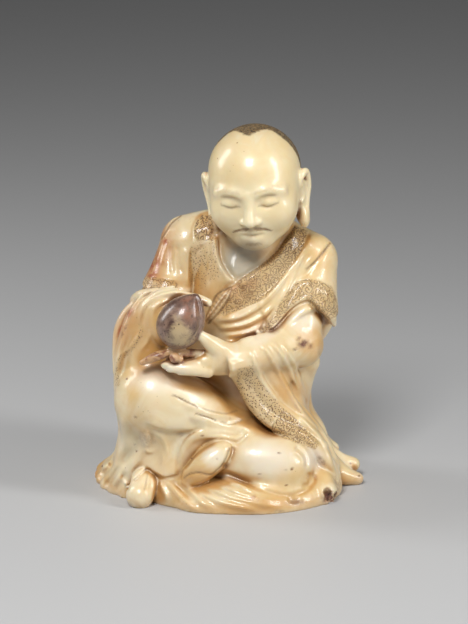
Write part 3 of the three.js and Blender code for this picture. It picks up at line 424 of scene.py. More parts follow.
def head():
    def form(x, y, z, *radii):
        return Egg(in_head(x, y, z), radii, HEAD_AXES)

    join(form(0, 1.5, 3.5, 13.1, 14.6, 12.7), 0.6)
    join(form(0, -2.6, -3.4, 12.2, 11.8, 11.6), 4)
    join(form(0, -5.4, -8.2, 9.4, 7.6, 7.2), 4)
    for side in (-1, 1):
        join(form(6.8 * side, -8, -4.4, 4.8, 4.8, 4.8), 3.5)  # cheek
        brow = [(2.6, -13.2, 2.2, 0.5), (5.8, -12.5, 3.2, 0.6), (9.2, -10.2, 2.2, 0.5)]
        limb(3, [in_head(x * side, y, z, r) for x, y, z, r in brow])
        cut(form(5.2 * side, -15.9, -0.2, 3.4, 2.8, 2.1), 2.4)  # socket
        join(form(5.2 * side, -11.05, -0.5, 2.9, 2.5, 1.8), 0.6)  # eyeball under its lids
        join(form(1.8 * side, -14.3, -5.4, 1.25, 1.4, 1.05), 0.8)  # wing of the nose
        ear(side)
    for blend, *line in (
        (1.4, (0, -13.3, 2, 1), (0, -14.6, -1.6, 1.15), (0, -15.9, -4.8, 1.6)),
        (1, (-3.2, -12.7, -9, 0.65), (0, -14, -8.5, 0.9), (3.2, -12.7, -9, 0.65)),
        (1, (-2.4, -12.5, -10.6, 0.75), (0, -13.5, -10.7, 1.1), (2.4, -12.5, -10.6, 0.75)),
    ):
        limb(blend, [in_head(*p) for p in line])
    join(form(0, -10.4, -12.6, 4.8, 2.9, 2.9), 3)
    groove(0.45, 0.35, (-3.9, -9.25), (-1.6, -9.7), (0, -9.6), (1.6, -9.7), (3.9, -9.25), view=FACE)
    for n in range(-3, 4):  # the small beard
        engrave((0.55 * n, -12.2), (0.65 * n, -12.8), width=0.28, depth=0, pigment=0.5, view=FACE)
    for side in (-1, 1):
        engrave((2.6 * side, -0.9), (5.2 * side, -1.5), (8 * side, -0.7), width=0.4, pigment=0.5, view=FACE)
        lid = (2.2 * side, 1.2), (5.2 * side, 1.9), (8.4 * side, 1.0)
        groove(0.5, 0.35, *lid, view=FACE)
        for n in range(12):  # moustache
            start, top = 1 + 0.34 * n, -7.35 - 0.009 * n * n
            line = (start * side, top), ((start + 0.75) * side, top - 0.6)
            engrave(*line, width=0.28, depth=0.06, view=FACE)
        for n in range(9):  # eyebrow
            start, top = 2.2 + 0.8 * n, 3.1 + 0.5 * math.sin(0.4 * n)
            line = (start * side, top), ((start + 0.7) * side, top + 0.6)
            engrave(*line, width=0.35, depth=0, pigment=0.22, view=FACE)
        cut(form(1.5 * side, -15.3, -6.5, 0.6, 0.8, 0.5), 0.3)  # nostril


def ear(side):
    """A curled rim round a hollow, and a full hanging lobe."""

    def at(x, y, z, *r):
        return in_head(x * side, y, z, *r)

    shell = [(12.5, 0, 0.4, 1.6), (12.7, 0.4, -5, 1.5), (12, -0.4, -10.4, 1.6)]
    limb(1, [at(*p) for p in shell], flat=HEAD_AXES[0], thin=1.3)
    rim = [(12.2, -2, -1, 0.9), (13.3, -1, 2, 1.1), (14.4, 1.4, 2.2, 1.15)]
    rim += [(14.5, 2.2, -2, 1.1), (13.7, 1.4, -6.4, 1.1), (13.1, 0.4, -9.4, 1.4)]
    limb(0.5, [at(*p) for p in rim])
    join(Egg(at(12.9, -0.4, -11), [1.7, 2.2, 3.2], HEAD_AXES), 0.8)
    inner = [(13.4, -1.4, -0.4, 0.5), (13.7, 0.6, -0.6, 0.5), (13.5, 0.6, -4, 0.5), (12.8, -1.4, -5.6, 0.6)]
    limb(0.5, [at(*p) for p in inner])


def left_arm():
    sleeve = Limb([(21.5, 7, 65, 7.7), (21.2, 4, 57, 8), (19.4, -0.8, 46, 9.3)])
    peak = front(20.3, 53, -9.8)
    rim = np.cross(np.subtract(front(29, 46, 4), peak), [-1, -0.1, -0.8])
    join(Kept(sleeve, peak, rim), 1)
    limb(0.3, [(21.5, 6.5, 60, 6), front(19.2, 47, -1.4, 5.9), front(18.6, 41, -3.6, 6.2)])
    line = [(18.8, 40.5, -3.6, 6.2), (9, 38.8, -12, 5.4), (1.4, 36.9, -16, 4.9), (-3, 36.3, -18, 4.9)]
    forearm = Limb([front(*p) for p in line])
    join(Kept(forearm, front(-1.3, 36.6, -17), [1, -0.15, -0.05]), 1.5)
    join(Egg(front(14.5, 42.6, -5.6), [5.4, 5, 5]), 3)
    roll(1.5, [(24, 52, -5, 1.5), (27, 48.4, -2.6, 1.3), (28.4, 46.4, -0.6, 0.7)])


def left_hand():
    palm = [(0.5, 36.2, -17, 3.9), (-4.5, 35.9, -18.5, 4), (-8.5, 35.4, -19.4, 3.1)]
    roll(0.5, palm, flat=unit([0, 1, 0.3]), thin=1.3)
    tips = [(-18.5, 36.3, -18.6), (-19.8, 35.2, -20.2), (-18.4, 34.2, -21), (-15.6, 33.4, -21)]
    for n, (a, b, y) in enumerate(tips):
        root = (-7.6, 37.3 - 1.35 * n, -18.4 - 0.7 * n, 1.75)
        middle = ((a - 7.6) / 2, b - 0.5 + 0.25 * n, y - 0.3, 1.6)
        roll(0.5, [root, middle, (a, b, y, 1.15)])
    roll(1.4, [(-2.8, 38.2, -18.5, 3.3), (-6.6, 41, -20.2, 2.4), (-10.2, 44, -21.8, 1.1)])


def shoe_cracks():
    """The crack over the left shoe's toe, and the crease behind the shoe."""
    engrave((-14.4, 3.1), (-13.2, 4.1), (-11.8, 4.5), (-10, 4.7), (-8, 4.2), (-6.4, 4.2), (-5.2, 5.3),
        (-3.8, 6.6), (-2.5, 8.8), (-1.6, 11.4), width=0.4, pigment=0.8)
    groove(0.5, 0.35, (-0.6, 12.2), (-1, 10), (-2.2, 7.6), (-3.9, 5.4), (-5.6, 3.8), (-8, 2.4), ends=1)


def right_arm():
    sleeve = Limb([(-14.2, 7, 69.6, 7.2), (-17.5, 4.6, 61.4, 7.2), (-20.8, 1, 53, 8.4)])
    join(Kept(sleeve, front(-22, 54.4, -6), [0.1, -0.12, 0.9]), 1)
    limb(0.4, [(-18.5, 5, 61, 6), (-23.4, 2, 50, 6), front(-24, 47, -6, 5.4)])
    hem = [(-28.2, 53.4, 1, 1.4), (-28.4, 53.6, -3, 1.5), (-26.6, 55, -7.4, 1.3), (-22.8, 55.8, -9.8, 1.1),
        (-17.6, 56.6, -11, 0.9)]
    roll(1, hem)
    roll(1.5, [(-24.5, 47, -6, 5.2), (-23.3, 50, -9, 4.8), (-19.6, 51, -12.5, 4.4)])
    join(Egg(front(-19.6, 47, -14), [4.8, 4, 6.8]), 1.2)
    roll(1.5, [(-24, 48, -9, 5), (-25, 41, -9.4, 5.8), (-24.6, 35, -10, 6.4)])
    roll(1, [(-14, 53, -14, 2), (-11, 53.7, -15.6, 1.5), (-7.6, 52.6, -16.8, 1.2)])
    # the cuff drawn over the hand in strands that run down to the knee
    strands = [
        [(-12.4, 54.4, -15.4, 0.8), (-16, 55, -15.2, 1.1), (-20.4, 53.8, -14.6, 1.1),
            (-23.2, 51, -14.2, 1.1)],
        [(-16.5, 56, -13.4, 0.8), (-21, 55.2, -12.8, 1.2), (-25, 52.4, -12.2, 1.3), (-27, 48.4, -11.6, 1.3),
            (-27.8, 44.6, -11.4, 1.2)],
        [(-24.6, 53.4, -9, 1.5), (-28.2, 50.4, -8.8, 1.6), (-30, 46.6, -8.8, 1.7), (-31.6, 42, -9, 1.5),
            (-33.2, 37, -9.4, 1.2)],
        [(-27.4, 52.6, -4.8, 1.7), (-30.6, 49.4, -4.8, 1.8), (-32.6, 45, -5, 1.9), (-33.4, 39.4, -5.6, 1.6),
            (-33.6, 33, -6, 1.2)],
    ]
    strands[0] += [(-24.6, 47.4, -13.8, 1.2), (-25.2, 43, -13.4, 1), (-26.6, 40, -13.2, 0.8)]
    for points in strands:
        roll(1, points)


def peach():
    roll(0.5, PEACH)
    groove(0.5, 0.7, (-10.9, 54.8), (-10, 51), (-9.9, 46.5), (-11, 42.5))
    leaf = [(-18.6, 38.6, -20, 1.3), (-22, 37.6, -20.6, 1.7), (-26, 35.8, -21, 1)]
    roll(0.5, leaf, flat=unit([0, 0.2, 1]), thin=1.3)
    roll(0.5, [(-17.8, 39.5, -20, 1.2), (-14, 38.6, -20, 1.3), (-9, 38.6, -19, 0.9)])
    join(Egg(front(-17, 37.2, -22), [1.5, 1.4, 1.5]), 0.4)
    join(Egg(front(-15.4, 36.7, -21.6), [1, 1, 1.1]), 0.3)


def legs():
    thigh = [(-23.2, 26.2, -12, 10.8), (-12.5, 22.4, -11.5, 8.7), (-5, 18.8, -10, 6.8), (2, 16, -7, 6.4),
        (9, 14.6, 0, 7)]
    roll(2.5, thigh)
    roll(4, [(-24, 23, -11, 9), (-24.5, 13, -8, 7.8), (-26, 5, -8, 6.4)])
    join(Egg(front(-15, 8, -5), [9, 9, 11]), 3)
    roll(4, [(-19, 16, -12, 5), (-18.4, 7, -13, 5), (-17.4, 0, -15, 4.4)])
    join(Egg(front(-22.6, 7.2, -12.6), [3.8, 3.4, 3.4]), 2)
    roll(3, [(-9, 12.4, -13, 5.6), (-2, 12.6, -12.6, 5.8), (5, 12.6, -11.4, 6.2)])
    roll(2, [(-12.6, 3, -16, 4), (-11.4, 9, -14.6, 4.4), (-6, 12, -14.4, 4.6)])
    roll(1.6, [(-2, 8.4, -13.5, 6), (6, 7.8, -14.5, 8), (13, 6.4, -13.5, 8.7)])
    limb(4, [front(13, 6.4, -13, 8.4), (18, 0, 11.5, 8.4), (16, 12, 11, 9.5)])
    along = unit(np.subtract(front(-1.5, 12.5, -20), front(-14, 2.6, -21)))
    thick = unit(np.cross(along, FRONT.across))
    join(Egg(front(-7.9, 7, -19.6), [8.7, 4.2, 4.2], [along, thick, np.cross(along, thick)]), 0.4)
    roll(0.6, [(-24.6, 4, -14.5, 2.2), (-25.8, 1, -17, 3.6), (-27, -2, -19.4, 4)])
    # the robe drawn up in an arch round the left shoe
    arch = [(-16.6, 2, -15, 1.6), (-15.6, 9, -16.6, 1.8), (-13, 14, -17.6, 1.9), (-9.4, 16, -18, 1.9),
        (-5, 14.9, -17.6, 1.7)]
    arch += [(-1, 14, -16.4, 1.6), (2.4, 15.4, -14.6, 1.4), (5, 17, -12.4, 1)]
    roll(2.2, arch)


def skirt():
    join(Egg([0, -3, 1], [30, 21, 9]), 4)
    join(Egg([2, 10, 2], [27, 20, 9]), 4)
    join(Egg([-29, 2, 0], [8, 12, 8]), 4)
    rim = [(-30, -8, 1.2, 2.4), (-21, -14.8, 1.2, 2.4), (-16.4, -19, 1, 2.2), (-11, -23.6, 0.8, 2.6),
        (0, -25, 0.6, 2.8), (8, -24.8, 0.6, 2.9)]
    rim += [(16, -22, 0.8, 3), (23, -16.6, 1.4, 3.2), (27.4, -9, 2.2, 3)]
    limb(3, rim)
    limb(3, [(-14, -17, 3, 3.4), (-6, -20, 3, 4), (2, -21.4, 3, 4.4), (10, -20.4, 3, 4.6), (19, -15, 3.4, 5),
        (25, -7, 4, 4.6)])
    fan = [(-38.4, 12, 2.2), (-39, 7, 1.9), (-38, 2.4, 2.3), (-37, -2.6, 1.9), (-34, -6.6, 2.4),
        (-31, -11, 1.9)]
    for x, y, r in fan:
        limb(3, [(-27, 0.4 * y - 1, 16, 3.4), (-31.5, 0.7 * y, 7, 3), (x, y, 0.8, r)])
    # the thick end of the long sleeve, and the fold ends beside it
    roll(1.5, [(22.6, 4.6, -10, 3), (24.6, 1, -13, 3.6), (25.4, -1.6, -15.4, 3.8)])
    limb(1.5, [(22, 1, 8, 6), (30, 0, 3.4, 3.2), (35.4, 0.6, 1.7, 1.8)])
    limb(1, [(22, 9, 8, 5.5), (29.4, 7.4, 5, 3), (34.2, 7.6, 3.8, 2.2)])
    limb(1, [(20, 15, 9, 6), (25.6, 15.6, 7.4, 3), (28.6, 15.6, 6.2, 2)])
    limb(3, [(14, 20, 10, 8), (20, 24, 3, 4)])
    limb(2, [(24, 4, 6, 5), (29, 3.8, 3.6, 3), (33, 3.8, 2, 1.4)])
    limb(2, [(22, 12, 8, 5), (26.6, 11.4, 5.4, 2.6)])


def hanging_sleeve():
    folds = [
        [(0.6, 35, -16.6, 3.4), (2.6, 29.5, -15.4, 2.2), (5.6, 24, -14.8, 2.2), (10, 19.4, -14.4, 2.2),
            (16, 15.8, -13.6, 2.2), (21.6, 12.4, -12.6, 2.2), (26, 6.4, -10.6, 2), (27.6, 1.4, -8, 2)],
        [(3.6, 35.6, -15, 3.8), (6, 30, -14, 2.8), (9.6, 24.4, -13, 2.6), (15, 19.6, -11.6, 2.6),
            (21, 15, -10, 2.6), (26, 8.4, -7.6, 2.4), (28, 3, -5.4, 2.4)],
        [(7.6, 36.6, -12, 4), (10.6, 30.6, -10.6, 3.2), (14.4, 24.8, -9, 3), (19, 19.8, -7, 3),
            (24, 13, -5, 2.8), (27.6, 6, -3.4, 2.6)],
        [(12, 37.6, -8.6, 4.2), (14.6, 31, -6.6, 3.6), (16, 25.6, -4.4, 3.4), (18.4, 19.6, -2.6, 3.2),
            (22.4, 13.6, -0.6, 3)],
    ]
    for points in folds:
        roll(1, points)
    limb(3, [(18, 4, 40, 4.6), (15.4, 9, 30, 6), (13.4, 10, 20, 8)])
    limb(1, [(20.4, 1, 37, 4), (19, 4, 31, 3.4), (17, 5, 26, 3)])


def knee_sleeve():
    outer = [(-24, 52, -9, 2.6), (-28.4, 47.4, -10, 2.4), (-31.2, 41, -10.4, 2.2), (-32.2, 33, -9.6, 2.2),
        (-31.6, 24, -8, 2.4), (-30, 15, -7, 3.2), (-31, 7, -8, 3)]
    middle = [(-25, 50, -5, 3.6), (-29.6, 44, -5, 3.3), (-31.4, 36, -4.6, 3.1), (-31.4, 26, -3.4, 3.3),
        (-29.6, 16, -2, 4), (-31, 8, -2, 4)]
    roll(1.6, outer)
    roll(1.6, middle)
    limb(2.5, [(-24, 2, 51, 5), (-26.6, 3, 42, 5), (-27, 4, 30, 5.4), (-25.4, 6, 18, 7), (-27, 6, 6, 7)])
    limb(4, [(-19.5, 7, 50, 5.5), (-20, 9.5, 38, 6.8), (-19.6, 11, 24, 8.6), (-18.6, 11, 8, 11.4)])


def folds():
    """Chips, cloth edges and drawn folds of the front."""
    cut(Egg(front(17.6, -3, -24.4), [2.8, 1.6, 1.2]), 0.4)
    for n in range(16):
        turned, away = 2.4 * n, 0.55 * math.sqrt(n)
        a, b = 27.2 + 0.8 * away * math.cos(turned), -2.6 + 1.05 * away * math.sin(turned)
        r = 0.9 + 0.35 * math.sin(5 * n)
        cut(Egg(front(a, b, -18.6 + 1.1 * (a - 26) + 0.4 * math.sin(3 * n)), [r, r, 0.8 * r]), 0.2)
    # edges of the robes over the chest
    lap(1.4, 4, (18.6, 76), (14.5, 70), (10.5, 65), (4.5, 60.6), (-0.4, 57.6))
    lap(1.1, 4, (1.6, 58), (-1, 56.9), (-3.2, 55), (-5.6, 51.8), (-7.6, 49.2), (-9.2, 46.6))
    groove(0.6, 0.5, (-1.6, 54.4), (-3.2, 52.6), (-4.6, 50.6), (-6.2, 48.6), (-8.4, 47.2))
    lap(0.5, 3, (22, 74), (20, 69), (17, 64.6), (13, 59), (8, 54.5), (2, 51), (-4, 48.6))
    lap(1, 3, (0.3, 58.2), (-1.8, 60.2), (-3.8, 63.5), (-4.8, 67), (-5, 72))
    ridge(0.5, 0.3, (-2.6, 60.2), (-4.8, 64), (-5.8, 68), (-5.9, 72.4))
    for line in ([(-6, 73.4), (-6.8, 68), (-7, 62), (-7.3, 57)], [(-7.1, 70.8), (-7.8, 65), (-7.9, 60.5)]):
        groove(0.5, 0.35, *line)
    ridge(0.5, 0.3, (-6.5, 72), (-7.3, 66), (-7.4, 59))
    groove(0.5, 0.35, (-7.2, 70.4), (-8.3, 69), (-10.5, 67.5), (-12.3, 65))
    groove(0.5, 0.4, (-7.4, 78.6), (-10, 77), (-11.6, 74.5), (-11.9, 72), (-11.9, 69))
    lap(0.7, 3, (-12.6, 57), (-13, 61), (-13, 65), (-12.7, 69))
    # soft folds that hang below the lapel
    for line in (
        [(-6.6, 48), (-2, 47.8), (2, 48.8), (6.8, 51.6), (11, 55.6), (15, 62)],
        [(-6, 45.6), (-1, 45.6), (4, 46.8), (8.6, 49.6), (12.6, 53.6), (16, 59.4), (19.6, 66.6)],
        [(-4.4, 43.2), (0, 43.4), (5, 44.6), (9, 47.4)],
        [(-3, 41.4), (1, 41.8), (4.5, 42.8), (7.4, 44.6)],
    ):
        ridge(0.75, 0.8, *line, ends=4)
    groove(0.6, 0.45, (27.4, 69.6), (22.4, 63.4), (19, 59.4))
    groove(0.7, 0.5, (22, 67.4), (17.6, 62), (14.6, 57.6), (11.8, 52.4), (8.6, 47.4), (6, 43.6))
    groove(0.5, 0.35, (-8.8, 46.8), (-6.6, 46.6), (-4.4, 44.6), (-4.2, 42))
    # folds of the right shoulder and sleeve
    groove(0.7, 0.5, (-15, 77.8), (-17.4, 75.4), (-18.8, 73.8))
    ridge(0.7, 0.4, (-18, 75), (-19.8, 72), (-21.2, 68), (-22.6, 63))
    ridge(0.7, 0.35, (-18.6, 71), (-20, 67), (-21, 62.4))
    groove(0.7, 0.5, (-17.8, 70), (-18, 65), (-17.6, 60))
    groove(0.7, 0.5, (-15.9, 70), (-16, 65), (-15.4, 60))
    engrave((-15.4, 77.6), (-17.9, 75.6), (-19.5, 73.3), (-20.9, 71), width=0.3)
    engrave((27.2, 69.7), (24.6, 66.4), (22.4, 64), (20.3, 62.2), width=0.3)
    engrave((-16.8, 26.3), (-13.8, 24.8), (-10.6, 23.2), width=0.26, depth=0.3)
    engrave((-9.4, 22.8), (-6, 21.8), (-2.6, 21.2), (0.5, 21.9), width=0.26, depth=0.2, pigment=0.5)
    engrave((-11, 21.4), (-8.2, 20.4), (-5.6, 19.5), width=0.26, depth=0.3, pigment=0.9)
    engrave((-4, 19), (-1, 18.1), (2, 19.4), width=0.26, depth=0.2, pigment=0.5)
    # hems of the short sleeves
    lap(1.1, 5, (8.6, 44.6), (11.2, 45.8), (15.6, 50.7), (18.7, 52.9), (21.6, 53.1), (25.7, 48.9),
        (28.4, 45.4))
    ridge(0.6, 0.35, (7.6, 44.4), (10.5, 47.8), (12.8, 51.4), (15.2, 55.1), (17.4, 58.2), (20.4, 59.3),
        (24, 58.2), (26.6, 54.6), (28.6, 50))
    ridge(0.6, 0.3, (-26, 60.4), (-22, 59.9), (-18, 59.2), (-15.6, 58.6))
    for line in (
        [(-12.8, 55), (-17, 55.6), (-21.6, 54.6), (-25, 52.2), (-26.8, 49), (-26.8, 45.4)],
        [(-16, 53.8), (-20.2, 52.8), (-22.8, 50.8), (-23.4, 47.6)],
        [(-22, 57), (-26.4, 54.6), (-29, 51.4), (-30.2, 47.6)],
    ):
        ridge(0.5, 0.6, *line, ends=4)
    ridge(1.2, 1, (-1.6, 56.6), (-3.4, 54), (-5.4, 51.2), (-7, 49.2), (-8.4, 47.4), ends=2)
    engrave((-1.6, 56.4), (-3.2, 54), (-5.2, 51.4), (-7, 49), (-8.2, 47.6), width=0.35)
    engrave((-1.4, 57), (-4.8, 55.2), (-6.5, 52.4), (-8.7, 47.8), width=0.35)
    engrave((-1, 57), (-1.8, 54), (-4.1, 50.3), (-7.6, 46.8), width=0.35)
    for n in range(7):
        a, b = -2.8 - 0.75 * n, 54.8 - 1.05 * n
        engrave((a - 1.4, b + 0.3), (a, b - 0.9), width=0.28, depth=0.2, pigment=0.7)
    # turned folds over the right knee
    for line in (
        [(-28, 52.4), (-30.4, 48.4), (-31.8, 44.6), (-32.4, 41)],
        [(-26.4, 47), (-27, 43.6), (-29.4, 40.4), (-32, 38), (-33.8, 34)],
        [(-24, 45), (-24.8, 41.4), (-27.4, 38.6)],
        [(-30.6, 47), (-31.6, 42), (-33, 37), (-33.6, 31)],
    ):
        ridge(0.6, 0.5, *line, ends=4)
    # creases over the thigh and under it
    ridge(1.2, 0.6, (5, 19.6), (1, 20.4), (-4, 20.6), (-9, 22), (-15, 24.6))
    ridge(1.2, 0.6, (4.6, 17), (0, 17.6), (-5, 18.2), (-10, 19.8), (-14, 21))
    lap(0.7, 3, (-26, 19.4), (-22.4, 17.4), (-19.4, 16.6), (-15.4, 16.4), (-12.4, 16.8),
        (-10.8, 17.8), ends=4)
    for width, height, *line in (
        (1.2, 0.8, (-32, 22), (-31.6, 16), (-32, 11.6), (-35, 7), (-38.6, 4.4)),
        (1.4, 1, (-25.8, 17.6), (-25, 14), (-26, 10.6), (-29, 6.6), (-32, 3)),
        (1.1, 0.7, (-22.8, 17.2), (-20.6, 13.6), (-19.6, 10.4), (-20.4, 7.4), (-22.4, 5.4)),
        (0.5, 0.5, (-26, 11.6), (-24.4, 10.3), (-22.6, 11.2)),
    ):
        ridge(width, height, *line, ends=5)
    groove(1.5, 1.1, (-30, 19), (-28.6, 14.6), (-28.6, 11), (-31.4, 7.4), (-35, 3.6), ends=5)
    groove(0.5, 0.45, (-26, 18.8), (-24.6, 17), (-23.6, 14.4), (-23, 11.6))
    groove(0.5, 0.35, (-22.6, 15.4), (-20.6, 12.6), (-19.8, 9), (-20.6, 7))
    lap(0.7, 3, (-31, -0.2), (-29.4, 1.6), (-27.2, 3.8), (-25, 5.6), (-22.8, 4.2), (-20.4, 3.2), (-17, 3.8),
        (-15, 4.8))
    # the robe's edge round the shoe
    groove(0.6, 0.6, (-14.6, 4.8), (-12.6, 8.2), (-9.4, 12), (-6, 13.9), (-2, 13.7), (0.4, 13), (2.6, 14.4),
        (3.6, 16.6))
    groove(0.5, 0.5, (-16.2, 5.4), (-16.3, 9), (-15.1, 12.8), (-13.2, 15.2), (-10.6, 16.8), (-8, 17))
    groove(0.5, 0.4, (-8, 15.2), (-4, 15.4), (-0.6, 14.9), (1.6, 15.6), (2.8, 17.4))
    # the cuff and the gathered folds of the long sleeve
    lap(0.9, 3, (-1.2, 41), (-1.9, 38), (-1.6, 35), (-0.9, 32))
    for line in (
        [(4.2, 40.4), (5.4, 36.4), (7.6, 31), (10.6, 27), (14, 23.6)],
        [(6.8, 42), (9.4, 38.4), (12, 33.6), (14.6, 29), (17.6, 24), (20, 20.4), (24.6, 15.6), (26.4, 11)],
        [(9.4, 42.8), (12.6, 38.8), (15, 34.8), (17.2, 30), (19.4, 26)],
        [(12.6, 41.6), (15.6, 37.4), (17.8, 32.6), (19.6, 27.4), (21.6, 23)],
        [(17, 22.4), (20.6, 18), (24, 14.4), (26.2, 10.6), (28.4, 4)],
    ):
        ridge(0.6, 0.95, *line, ends=5)
    groove(0.5, 0.35, (19, 14.4), (14.6, 17), (11, 18.8), (8.4, 20.8), (6, 23.4), (4.2, 26.4), (3, 29.6),
        (2.6, 33))
    # folds that sweep over the skirt's front
    for width, height, *line in (
        (0.7, 0.8, (-5, 4.4), (-2.6, 2.8), (1, 1.2), (5, -0.6), (9, -2.2)),
        (0.8, 0.9, (-5.4, 2.4), (-2.4, 0.5), (2, -1.2), (7, -2.6), (13, -3.6)),
        (0.8, 0.9, (-9.4, 1), (-5.4, -0.5), (-1, -2.2), (4, -3.4), (9, -4.4), (14, -5)),
        (0.9, 1, (-12.4, 0.2), (-8.4, -1.7), (-3.4, -3.6), (2, -4.9), (8, -5.8)),
        (0.9, 1, (-17.6, 3.4), (-14, 0.8), (-11.6, -1.4), (-9, -3.8), (-4.6, -5.6)),
        (0.9, 1, (-20, 2.6), (-17.4, 0), (-15, -2.6), (-12.4, -4.8), (-9, -6.4)),
        (0.8, 0.8, (-21.6, 2), (-20, -1), (-18.6, -3.8)),
    ):
        ridge(width, height, *line, ends=6)
    # the crease under the left knee, and the C-shaped folds at its end
    groove(0.7, 0.6, (-3, 7.4), (-2.9, 5), (0, 3.3), (5, 0.8), (10, -1), (14, -1.9), (18, -1.5), (21, 0),
        (22.4, 2.4), (21.6, 5.2))
    groove(0.6, 0.8, (16.4, 11.8), (18.6, 10.8), (20.1, 8.6), (20.3, 5.6), ends=1.5)
    ridge(0.5, 0.5, (16.2, 10.8), (18.2, 9.6), (19.3, 7.8), (19.2, 5.8), ends=1.5)
    groove(0.6, 0.7, (20.4, 4.8), (21.3, 3), (20.8, 0.9), (18.6, 0.9), ends=1.5)
    # grooves of the fan
    for line in ([(-40, 1.6), (-37, 4.6), (-34.4, 8.4)], [(-38, -0.6), (-35.4, 2.4), (-33, 6)],
            [(-34.6, -1.6), (-32.6, 1.4), (-31, 5)]):
        groove(0.8, 1, *line)
    engrave((-24.9, 4), (-25.2, 2), (-25.7, -0.4), width=0.4, depth=0.5, pigment=0.5)
    groove(0.5, 0.4, (-24.2, 3.8), (-23.9, 1.4), (-24.4, -1))
    # ornamented borders
    band([(20.8, 74), (19.4, 69.4), (16, 64.4), (12, 58.4), (8, 54.6), (3, 51.8), (-3.4, 48.6)],
        [(16.8, 74.4), (14, 69), (10, 64.2), (4.4, 60), (0.4, 57.8), (-1.6, 54.6), (-4.6, 50.4)])
    band([(-6.6, 78), (-6.2, 75), (-6.4, 72.6), (-7.4, 70.4)],
        [(-8.6, 78), (-11, 75.4), (-11.7, 72.4), (-11, 70)])
    band([(8.2, 44.2), (11.2, 46.4), (15.4, 51.2), (18.7, 53.6), (21.8, 53.7), (25.4, 50), (28, 46.4)],
        [(6.8, 44.4), (10.5, 48.2), (14.4, 54.4), (17.4, 58.2), (20.4, 59.3), (24.6, 57.6), (28.4, 50)])
    band([(-26.6, 60), (-23, 59.8), (-19, 59.2), (-16, 58.4)],
        [(-28, 55.8), (-24, 55.6), (-20, 56.2), (-16.4, 56.8)])
    band([(0.6, 34.4), (0.4, 30), (1.6, 25.6), (4.6, 20.8), (8.4, 17.6)],
        [(4.4, 35), (6.4, 31.4), (9, 27.4), (12, 24.4), (14.6, 21.8)], scrolls=0.15)
    band([(8.4, 17.6), (12.6, 15.2), (17.8, 12.9), (23, 11)],
        [(14.6, 21.8), (17.8, 19.2), (21, 16), (24.4, 12.6)], scrolls=0.8)
    knee = [(-27, 47), (-27.8, 43), (-30.6, 39.4), (-33.2, 37), (-34, 33), (-34, 29)]
    band(knee, [(a + 1.3, b - 0.6) for a, b in knee], scrolls=0)
    # the plainer stippled front of the inner robe
    band([(-12.4, 71), (-12.9, 63), (-12.9, 55)], [(-8, 72), (-8, 65), (-8.2, 55)], scrolls=0, fade=5)
    band([(-7, 73.6), (-7.4, 66), (-7.6, 57)], [(-5.2, 73.6), (-5.2, 67), (-4.2, 59)], scrolls=0, fade=3)


def back_folds():
    """The plainer back: a collar, folds that sweep down from the left shoulder and the skirt's folds."""
    ridge(1.1, 0.8, (-19, 74), (-12, 77.4), (-5, 78.6), (2, 77.6), (8, 75), view=BACK)
    for line in (
        [(-22, 66), (-14, 62), (-4, 54), (6, 44), (13, 34)],
        [(-20.4, 59), (-12, 54), (-4, 46.4), (3, 37.6), (8, 28)],
        [(-18.6, 51), (-12, 46), (-6, 38.6), (-2, 30), (0, 22)],
        [(-17, 42), (-13, 36), (-10, 28), (-9, 20)],
        [(-12, 72), (-2, 66), (8, 57), (16, 46)],
    ):
        groove(1.4, 1, *line, ends=8, view=BACK)
    for line in (
        [(13, 34), (15, 24), (17, 14), (18.4, 4)],
        [(6, 26), (7, 17), (8, 8), (8.4, 2)],
        [(-2.4, 20), (-3, 12), (-3.6, 3)],
        [(-12, 18), (-14, 10), (-16, 3)],
        [(-20, 16), (-23, 9), (-25, 3)],
    ):
        groove(1.6, 1.2, *line, ends=6, view=BACK)
    for line in ([(-8, 40), (-8.6, 30), (-7, 18), (-7, 6)], [(6, 42), (5.6, 30), (4.6, 16), (5, 4)],
            [(14, 34), (13, 20), (13, 8)]):
        groove(1.4, 0.9, *line, ends=6, view=RIGHT)
    for line in ([(-9, 46), (-9.6, 32), (-10.6, 18), (-12, 4)], [(-2.6, 44), (-3, 30), (-4, 16), (-5.4, 4)]):
        groove(1.5, 1, *line, ends=6, view=LEFT)


def carve():
    torso()
    skirt()
    legs()
    knee_sleeve()
    left_arm()
    hanging_sleeve()
    right_arm()
    folds()
    left_hand()
    shoe_cracks()
    peach()
    head()
    back_folds()
    np.maximum(field, -AXES[2][:, None, None].astype(np.float32), out=field)


# Meshing by surface nets: one point in every cell that the surface crosses, moved onto the surface

SETTLINGS = 3  # moves of every point onto the surface
SHALLOWEST = 0.2  # least squared slope that a move reckons with
SLOPE_REACH = 0.7  # of the grid's spacing, that slopes are taken over
LONGEST_MOVE = 0.3  # of the grid's spacing, at each settling


